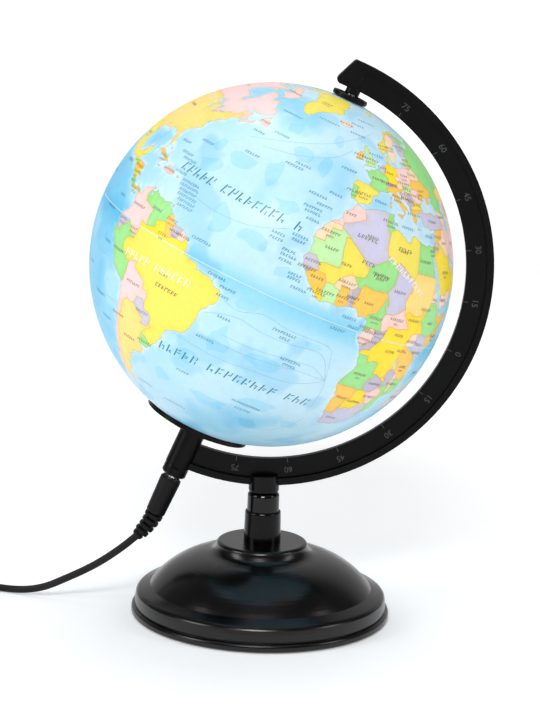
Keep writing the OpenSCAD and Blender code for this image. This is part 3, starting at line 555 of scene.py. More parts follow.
# Shores as closed outlines, one block each, and every point is a longitude and a latitude in
# degrees. A longitude over 180 stands for a western one on the far side of the date line.
SHORES = """
-77.4 8.7, -76.8 8, -76.4 8.9, -75.6 9.6, -75.5 10.6, -74.8 11.1, -74.1 11.3, -72.9 11.5, -71.7 12.4,
-71.3 11.8, -72 11.2, -71.6 10.8, -71.9 9.6, -71.1 9.3, -71 10.1, -71.4 10.9, -70.2 11.5, -70 12.1,
-69.6 11.5, -68.4 11.1, -68.2 10.6, -67 10.6, -66 10.6, -65 10.1, -64.2 10.5, -61.9 10.7, -62.6 10.2,
-62 9.7, -60.8 9.1, -61 8.6, -59.9 8.3, -58.9 7.8, -58.4 6.9, -57.3 6, -55.1 5.9, -53.9 5.8, -52.3 4.9,
-51.5 4.2, -51 3, -50.5 1.9, -49.9 1.2, -50.3 0.3, -51.3 -0.3, -50.7 -0.9, -50.4 -0.1, -48.6 -0.3,
-48.4 -1.3, -47.5 -0.6, -46.2 -1, -44.8 -1.6, -44.4 -2.7, -43.4 -2.4, -41.7 -2.8, -40 -2.8, -38.5 -3.7,
-37.1 -4.8, -35.5 -5.1, -35 -6, -34.8 -7.2, -34.9 -8.5, -35.6 -9.8, -36.9 -10.8, -37.6 -12.1, -38.6 -13,
-39 -14, -38.9 -15.9, -39.2 -17.5, -39.7 -19.4, -40.3 -20.6, -41 -22, -42 -22.9, -43.4 -23, -44.7 -23.4,
-46.4 -24, -47.9 -25, -48.7 -26.2, -48.6 -28.2, -49.8 -29.3, -50.5 -31, -52.1 -32.2, -53.4 -33.8,
-54.9 -34.9, -56.3 -34.8, -57.8 -34.4, -58.4 -33.9, -58.4 -34.6, -57.2 -35.4, -56.7 -36.4, -57.6 -38.1,
-59.5 -38.8, -62.2 -38.9, -62.1 -40.5, -63.9 -41.1, -65.1 -41, -64.9 -42.1, -63.7 -42.2, -64.3 -42.9,
-65.3 -44.1, -65.6 -45, -67.3 -45.7, -67.3 -46.5, -65.8 -47.8, -67.5 -49.3, -68.9 -50.4, -68.8 -51.7,
-68.3 -52.5, -68.2 -53.2, -66.9 -54.3, -65.2 -54.7, -66.6 -55.1, -69.4 -55.3, -71.8 -54.2, -74.4 -52.8,
-75 -51, -75.5 -49, -75.3 -47.2, -74.6 -45, -73.2 -43.2, -74.1 -42.2, -73.7 -40, -73.4 -38, -72.6 -35.6,
-71.7 -33.2, -71.5 -30.7, -70.9 -27.3, -70.4 -24.5, -70.1 -21.3, -70.3 -18.4, -71.6 -17.4, -73.8 -16.1,
-75.9 -14.7, -76.4 -13.5, -77.6 -11.3, -78.8 -8.8, -79.9 -6.9, -81.1 -6, -81.3 -4.6, -80.4 -3.5, -79.9 -2.4,
-80.8 -2.3, -80.5 -0.7, -79.9 0.6, -78.8 1.5, -77.5 3, -77.3 4.3, -77.4 5.8, -77.9 7.2

-77.9 7.2, -78.4 8.2, -79.6 9, -80.4 8.2, -80.1 7.5, -80.9 7.3, -82 8.2, -83 8.2, -83.7 8.6, -84.7 9.7,
-85.8 10, -85.7 11.1, -86.8 12.2, -87.7 13.1, -89.8 13.5, -92.2 14.6, -94 16.1, -96.5 15.7, -98.6 16.3,
-101.7 17.7, -104.2 19, -105.6 20.4, -105.4 21.8, -107.8 24.6, -109.4 26, -110.9 27.9, -112.3 29.4,
-113.1 31.2, -114.8 31.8, -114.6 30.2, -112.9 28.3, -111.7 26.6, -110.4 24.2, -109.5 23.1, -110.2 23.1,
-112.1 25, -113.6 26.7, -115 27.9, -114.2 28.5, -115.8 30.3, -117.1 32.5, -118.5 34, -120.6 34.5,
-121.9 36.6, -122.6 37.9, -124.3 40.4, -124.1 43.3, -124 46.3, -124.7 48.4, -122.5 47.3, -122.8 49,
-125.2 50.3, -127.9 51.7, -130.3 54.4, -133 57, -136.5 58.4, -140 59.8, -144.5 60.1, -148 60.4, -151.8 59.3,
-151.4 61, -154 59.2, -157 56.9, -164.5 54.6, -160 56.3, -157.6 58.7, -162 58.8, -165.5 61.4, -164.5 63,
-161 64.5, -166.2 64.7, -168 65.6, -162 66.4, -166.5 68.4, -161.5 70.3, -156.7 71.3, -150 70.5, -141 69.7,
-134.5 69.5, -128 70.4, -121 69.7, -115 68.2, -108 68, -98 67.8, -95.5 68.5, -94.5 71.9, -92 69.6, -88 68,
-85.2 69.8, -81.8 69.2, -82.3 66.9, -86.5 66.2, -88 64.3, -93.5 61.8, -94.7 58.8, -92.7 57, -88 56.5,
-82.3 55.1, -82.2 52.9, -80 51.3, -78.9 52.4, -79.2 54.4, -76.7 56.2, -78.4 58.6, -77.8 62.5, -73.7 62.4,
-69.8 61, -69.6 59.3, -67.7 58.4, -64.7 60.3, -61.6 57, -57.6 54.5, -55.8 52.5, -58.6 51.2, -61.5 50.1,
-66.6 50.1, -69 48.5, -71.2 46.9, -68.2 48.7, -64.5 49, -65 47.4, -64.3 46.1, -62 45.9, -60.2 47, -59.9 46,
-61.2 45.2, -63.6 44.5, -65.6 43.4, -66 44.4, -64.3 45.4, -67 44.9, -69.2 44, -70.7 43.1, -70.6 41.9,
-69.9 41.8, -72.5 41.2, -74 40.6, -74.2 39.5, -75.4 38.6, -75.9 37.1, -76.3 39, -76.4 37, -75.6 35.3,
-77.4 34.4, -79 33.3, -80.9 32, -81.4 30.4, -80.5 28.3, -80.1 26.6, -80.5 25.2, -81.3 25.3, -82.1 26.8,
-82.7 28.4, -83.9 30, -85.2 29.7, -86.6 30.4, -89.3 30.3, -89.3 29.1, -91.3 29.3, -94.6 29.5, -96.8 28.2,
-97.4 26.8, -97.4 25.2, -97.8 22.6, -96.5 19.6, -94.9 18.2, -92.3 18.6, -90.6 19.6, -90.3 21, -87.1 21.5,
-87.7 19.5, -88.3 17.6, -88.8 15.9, -86 15.9, -83.5 15.3, -83.5 12.5, -83.7 11.2, -82.6 9.5, -80.8 8.9,
-79.7 9.5, -77.4 8.7

-84.9 21.9, -83 23, -80.5 23.1, -77.6 22, -75.2 20.9, -74.2 20.2, -77.6 19.8, -77.4 20.7, -79.5 21.6,
-82.8 22.6

-74.4 18.4, -71.6 17.7, -68.5 18.4, -69.5 19.2, -71.6 19.9, -73.2 19.9, -72.6 18.9

-78.3 18.4, -76.3 18.2, -77.3 17.8

-67.2 18.5, -65.7 18.3, -67.1 17.9

-61.7 10, -60.9 10.1, -60.9 10.8, -61.7 10.6

-78 24.9, -77.6 24.1, -78.3 24.4

-59.3 47.7, -55.8 46.8, -53.2 46.8, -53.2 48.6, -55.6 49.8, -55.7 51.5, -57.4 50.5, -58.6 48.6

-128.3 50.7, -123.5 48.4, -125.2 50.1

-61.5 66.6, -64.6 63.5, -68.5 62.3, -72.5 64.2, -77.8 64.9, -73 67.6, -78.8 70, -88.8 70.8, -89.6 73.4,
-81 73.7, -71 71

-116 69.2, -105 69.1, -105.5 72.5, -114 73.2, -118.5 71

-125.5 72, -120.5 71.5, -117.5 73.3, -124.5 74.3

-78 76.3, -89.5 76.5, -87 79.2, -92 81.3, -75 83.1, -62.5 82.3, -72 79

-80 74.7, -91.5 74.7, -90.5 76.3, -80 75.8

-89 78.3, -96.5 80, -91 81.3

-106 75.1, -116 75, -117 76.3, -108 76.6

-93 72.2, -98 71.5, -101 73.4, -92 74

-85 63.2, -80.6 64, -85.5 66, -87 64

-43.9 59.9, -48.2 61, -51.4 63.6, -53.6 66.6, -53 68.6, -50.9 70, -54.6 71.6, -58 75, -66 76, -71 77,
-68 79, -65 81, -54 82.3, -46 82.9, -33 83.6, -22 82.4, -14 81.5, -19.5 79.3, -18.5 77, -20.5 74.7,
-24.3 72.6, -22 70.4, -26.5 68.3, -32.5 67.6, -38 65.6, -40.7 64, -42.5 61.4

-24 65.5, -22.4 66.4, -20.3 65.8, -16.2 66.5, -13.6 65.1, -15.5 64.2, -18.8 63.4, -22.6 63.9, -21.9 64.7

32.3 31.2, 31 31.5, 29.3 30.9, 27 31.2, 25.1 31.7, 23.1 32.5, 21.7 32.9, 20.2 32.3, 20 31, 19 30.3,
17.4 30.9, 15.4 31.9, 15.2 32.4, 13.2 32.9, 11.4 33.1, 10.1 34, 10.9 35.2, 10.6 36.2, 11 37.1, 9.8 37.3,
7.2 37, 4 36.9, 1 36.4, -1.2 35.7, -2.8 35.2, -5.3 35.8, -6 35.6, -6.9 34, -8.9 32.8, -9.8 31.5, -9.7 30.1,
-11.2 28.6, -12.9 27.9, -14.6 26.1, -16.1 23.9, -17 20.9, -16.2 20.1, -16.3 18.7, -16.5 16, -17.4 14.7,
-16.7 13.2, -16.7 12.3, -15.3 11, -13.7 9.5, -13.2 8.4, -11.6 6.9, -9.6 5.5, -7.6 4.4, -5.7 5.1, -3.2 5.1,
-2 4.8, -0.2 5.5, 1.3 6.1, 3.6 6.4, 4.7 6.1, 5.5 4.7, 6.4 4.3, 8.6 4.6, 9.6 4, 9.8 2.4, 9.4 1, 9.4 0.2,
8.8 -0.8, 9.8 -2.6, 11.3 -4.1, 12.3 -6, 13.2 -8.4, 13.8 -10.7, 12.8 -13.4, 12.1 -15.3, 11.8 -17.6,
13.4 -20.7, 14.5 -22.6, 14.8 -25.4, 15.8 -28, 17.4 -30.3, 18.2 -32.2, 18.4 -34.2, 20 -34.8, 22.3 -34.1,
25.7 -34, 27.9 -33, 30 -31.2, 31.3 -29.4, 32.5 -28.2, 32.8 -26, 35.2 -24.5, 35.4 -22.2, 34.8 -20,
36.8 -18.1, 39.8 -16.3, 40.7 -14.8, 40.5 -11, 39.4 -8.9, 39.4 -6.9, 38.8 -6, 39.3 -4.4, 40.6 -2.5,
42.5 -0.5, 45 1.9, 47.9 4.5, 49.2 6.9, 50.8 9.4, 51.2 11.8, 48.5 11.3, 45 10.5, 43.2 11.5, 42.7 12.9,
41.1 14.7, 39.7 15.3, 38.5 18, 37.3 19.2, 37.2 21.1, 35.7 23.6, 34 26.6, 33 28.4, 32.6 29.9

32.6 29.9, 33.2 28.6, 34.3 27.8, 34.9 29.5, 34.7 28, 36.6 25.8, 38.5 23.5, 39.2 21.2, 41.1 18.9, 42.6 16.6,
43.3 12.7, 45.1 12.8, 48.7 14, 52.2 15.6, 54.5 17, 57.6 18.9, 59.8 22.4, 58.4 23.7, 56.6 24.6, 56.4 26.3,
54.6 24.8, 51.7 24.2, 51.5 25.9, 50.6 25.3, 49.9 26.8, 48.5 28.4, 48 29.9, 50 30.1, 51.3 28, 54.7 26.6,
56.8 27.1, 57.3 25.7, 61.6 25.1, 66.5 25.3, 67.4 24, 70.2 22.7, 69.1 22.3, 70.5 20.9, 72.4 21.7, 72.8 19,
73.7 15.8, 74.8 13, 76.3 9.8, 77.5 8.1, 78.9 9.3, 79.9 10.4, 80.3 13.3, 80.5 15.8, 82.3 16.7, 86.8 20.6,
88.3 21.7, 90.8 22.3, 92.3 20.8, 94.4 18.1, 94.3 16, 97.2 17, 98.5 13.5, 98.4 8.4, 100.4 6.2, 101.3 2.9,
103.6 1.3, 103.3 4.3, 100.4 7.3, 99.2 9.4, 100.1 12.8, 100.8 13.4, 102.6 12.1, 104.9 10.3, 105 8.7,
107 10.4, 109.3 11.9, 108.8 15.2, 106.5 17.9, 106.2 20.1, 109.6 21.5, 110.2 20.3, 111.6 21.6, 114.2 22.4,
117 23.5, 119.7 25.9, 121.8 28.9, 121.8 31.4, 119.3 35.1, 122.5 37, 118.6 38.1, 118.2 39.2, 121.3 40.8,
121.4 38.9, 124.3 39.9, 125 37.9, 126.6 36.9, 126.4 34.5, 129.2 35.2, 129.4 37.2, 127.6 39.7, 130.2 42.2,
133 42.8, 138.4 46.6, 140.5 50, 141.2 53.2, 137.5 53.8, 135.3 55, 143 59.3, 152 59.1, 156 61.6, 163.2 62.5,
161.9 60.4, 157 58, 155.7 55, 156.7 51.1, 160 53.3, 162.7 56.2, 163.3 58, 170.4 60, 177.4 62.6, 178.5 64.6,
190 65.9, 180.5 68.8, 170.3 70, 160 69.7, 152.5 70.9, 140 72.5, 130 71.1, 126.5 73.4, 113.3 73.8, 105 77.6,
98 76.2, 87 75, 80.6 73.6, 81 72, 73.2 71.4, 73.8 67.6, 71.8 66.4, 72 69.8, 69 72.9, 67.2 69, 60.5 69.7,
54 68.4, 46.3 68.1, 43.6 66.3, 40.5 64.6, 35.3 64.2, 32.8 66.8, 40.8 66.3, 41 67.5, 33.2 69.4, 28.5 71,
20.3 69.9, 14.8 68.3, 12.4 65.8, 9.6 63.6, 5.2 61.9, 5.3 59.1, 7.1 58, 9.2 58.9, 10.6 59.6, 11.8 57.8,
12.8 55.6, 14.3 55.4, 16.5 56.8, 17.2 58.8, 18.8 59.9, 17.2 61.3, 18.6 63.1, 21.8 65.5, 25.2 65.3,
22.2 63.3, 21.4 60.9, 23.2 59.9, 28 60.5, 30 59.9, 27.8 59.4, 23.5 59.2, 24.3 57.4, 22.4 57.6, 21 56.3,
20.6 54.8, 18.6 54.6, 14.3 53.9, 11 54.2, 9.9 54.8, 10.8 56.4, 10.4 57.6, 8.3 57, 8.6 54.3, 6.9 53.4,
4.8 53, 3.8 51.6, 1.6 50.7, 0.3 49.6, -1.6 49.6, -1.8 48.6, -4.7 48.5, -3 47.5, -1.1 45.8, -1.6 43.4,
-5 43.6, -8 43.7, -9.1 42.6, -8.8 41, -9.4 38.7, -8.8 37, -7.2 37.1, -6.2 36.5, -5.4 36, -4 36.8, -2 36.8,
-0.7 37.8, 0.1 38.8, -0.2 39.9, 0.9 40.9, 3.1 41.9, 3.1 43.1, 5.2 43.3, 7.3 43.7, 8.9 44.4, 10.2 43.9,
11.3 42.3, 13.3 41.2, 15 40.2, 16 39, 15.8 38, 17 39, 16.7 40.2, 18.4 39.9, 17.6 41, 15.9 41.9, 14 42.7,
13.4 43.7, 12.3 44.5, 12.6 45.5, 13.7 45.5, 13.9 44.9, 15.2 44.2, 16.9 43.2, 19.2 41.9, 19.4 40.5, 20.9 39,
21.3 37.2, 22.8 36.5, 23.2 37.6, 24 38, 22.9 39.3, 22.9 40.4, 24.1 40.2, 26.1 40.7, 26.4 39.4, 27 38.2,
28.1 36.7, 30.5 36.7, 32.4 36.1, 34.2 36.4, 35.9 36.6, 35.9 34.6, 34.9 32.3, 34.2 31.3, 32.3 31.2

8.6 42.4, 9.4 43, 9.5 42, 9.1 41.4

8.3 40.9, 9.5 41.1, 9.6 39.2, 8.5 39

12.5 38, 15.6 38.2, 15.1 36.7, 12.6 37.5

23.6 35.6, 26.3 35.3, 24 35

32.4 35, 34.4 35.6, 33.5 34.6

-5.6 50.1, -3.4 50.3, 0.9 50.9, 0.8 51.6, 1.7 52.6, 0.2 53, -0.2 54.3, -1.8 55.7, -3 56.1, -2 57.6, -4 57.7,
-3.2 58.6, -5 58.5, -6 56.6, -4.8 54.9, -3.2 54.6, -3 53.4, -4.6 53.1, -4.9 51.8, -2.9 51.4, -4.5 50.9

-6.2 52.2, -9.9 51.6, -9.6 53.3, -8.4 54.5, -7.4 55.3, -5.6 54.6

11 79.4, 15.5 76.9, 22 78.3, 27 80.1, 18 80.2

52 71.2, 57.5 70.7, 56.5 73, 69 76.6, 60 76.1, 54 73.6

95 79.2, 105 79, 97 81

49.3 -12, 50.4 -15.6, 49.3 -18.5, 47.1 -24.9, 45.3 -25.5, 43.4 -22.7, 44.4 -19.9, 44.2 -16.4, 46.5 -15.6

79.9 9.5, 81.8 7.6, 80.6 6, 79.8 7.5

95.3 5.6, 98.6 3.6, 103.5 0, 106 -3.2, 105.7 -5.9, 102.2 -4, 98.6 1.6

105.2 -6.8, 108.6 -6.7, 114.4 -7.8, 114.2 -8.7, 106.5 -7.4

109 1.6, 111.4 2.6, 115 5, 117 7, 119.2 5.2, 117.6 1, 116.2 -3.9, 113.5 -3.2, 110 -2.6

119.8 0.8, 125 1.5, 120.6 0.4, 123.2 -1, 121.6 -1.9, 122.6 -5, 120.6 -2.9, 119.5 -5.5, 119 -3

131 -0.8, 134.2 -0.9, 138 -1.7, 144.6 -4, 147.8 -6.5, 150.7 -10.5, 146.5 -8.8, 143.3 -8.7, 138 -8.2,
137.8 -5.2, 133.2 -4, 133.4 -2.5

120.1 15.8, 120.7 18.5, 122.2 18.3, 121.6 14.4, 124 12.7, 120.8 13.8

122.1 7, 125.5 9.8, 126.5 7.4, 125.3 5.7, 123.8 7.6

120.1 23, 121.5 25.2, 120.9 22

108.7 19.3, 110.9 20, 109.4 18.3

130.9 34.1, 133 35.5, 136.7 37.2, 139.6 38.9, 141 41.4, 142 39.5, 140.8 35.8, 138.6 34.7, 136 33.6, 135 34.6

130 33.4, 134.4 34.2, 133 32.8, 131.3 31.3, 130.2 31.3

140 42.6, 141.8 45.4, 145.3 43.4, 143.2 42, 140.5 41.6

142.2 54.2, 143.6 50, 142.8 46.3, 142 46.2, 142 51

113.8 -22.4, 113.7 -26.3, 115.6 -31.8, 115.1 -34.3, 118 -35, 123.6 -33.9, 126 -32.3, 131.2 -31.5,
135.4 -34.7, 138 -33, 138.3 -35.5, 140.6 -38, 144.6 -38.3, 146.5 -39, 150 -37.4, 151.4 -33.2, 153.5 -28.4,
153 -25.2, 150.7 -23, 146.4 -19, 145.3 -15, 142.6 -10.8, 141.6 -14, 140.8 -17.5, 138.5 -16.9, 135.6 -15,
136.8 -12.2, 132.6 -11.4, 129.6 -14.9, 126.4 -14, 122.3 -17.6, 119 -20

144.7 -40.8, 148.3 -40.9, 146.8 -43.6

172.8 -34.5, 175.5 -37, 178.4 -37.7, 175.3 -41.6, 173.8 -39.3, 174.7 -37.5

172.7 -40.6, 174.2 -41.7, 171 -44.4, 169.5 -46.6, 166.6 -46, 170 -43.2
"""

# Lakes and inland seas
LAKES = """
29.1 41.3, 28.1 42.3, 28.5 44.1, 30.7 46.3, 33.2 46.1, 32.6 45.3, 33.9 44.4, 36.4 45.3, 35 46.4, 39 47.2,
37.4 45.2, 39.6 43.6, 41.5 42.2, 41.3 41.4, 38.2 41, 35 42, 31.6 41.3

47 44.6, 48.4 46.5, 53 46.6, 52.9 45.3, 50.5 44.4, 52.6 42.2, 53.9 40.5, 53.8 37, 51 36.7, 49 37.5,
49.4 40.2, 47.6 42.9

-92 46.7, -87.5 46.5, -84.7 46.5, -86 48.7, -89.2 48.1

-87.6 41.7, -86.3 42.4, -86.2 44.6, -85 45.8, -87.4 45.2, -87.9 43

-84.4 45.9, -83.4 44.2, -82.4 43.1, -81.7 44.6, -80.1 44.7, -81 45.8

-83.3 41.7, -81.3 41.8, -79 42.8, -81.5 42.6

-79.7 43.3, -76.5 43.6, -77.5 44, -79.3 43.8

31.8 -0.9, 32.1 -2.5, 33.7 -2, 34 -0.4, 32.6 0.3

29.2 -3.5, 29.7 -5.9, 31.1 -8.7, 30.2 -8.4, 29.1 -6

34 -9.6, 34.5 -12, 35.2 -14.2, 34.3 -12.6

104 51.6, 109 53.4, 109.7 55.6, 106.5 53

58.5 45.5, 59.2 43.8, 61 44.5, 60.5 46.3
"""

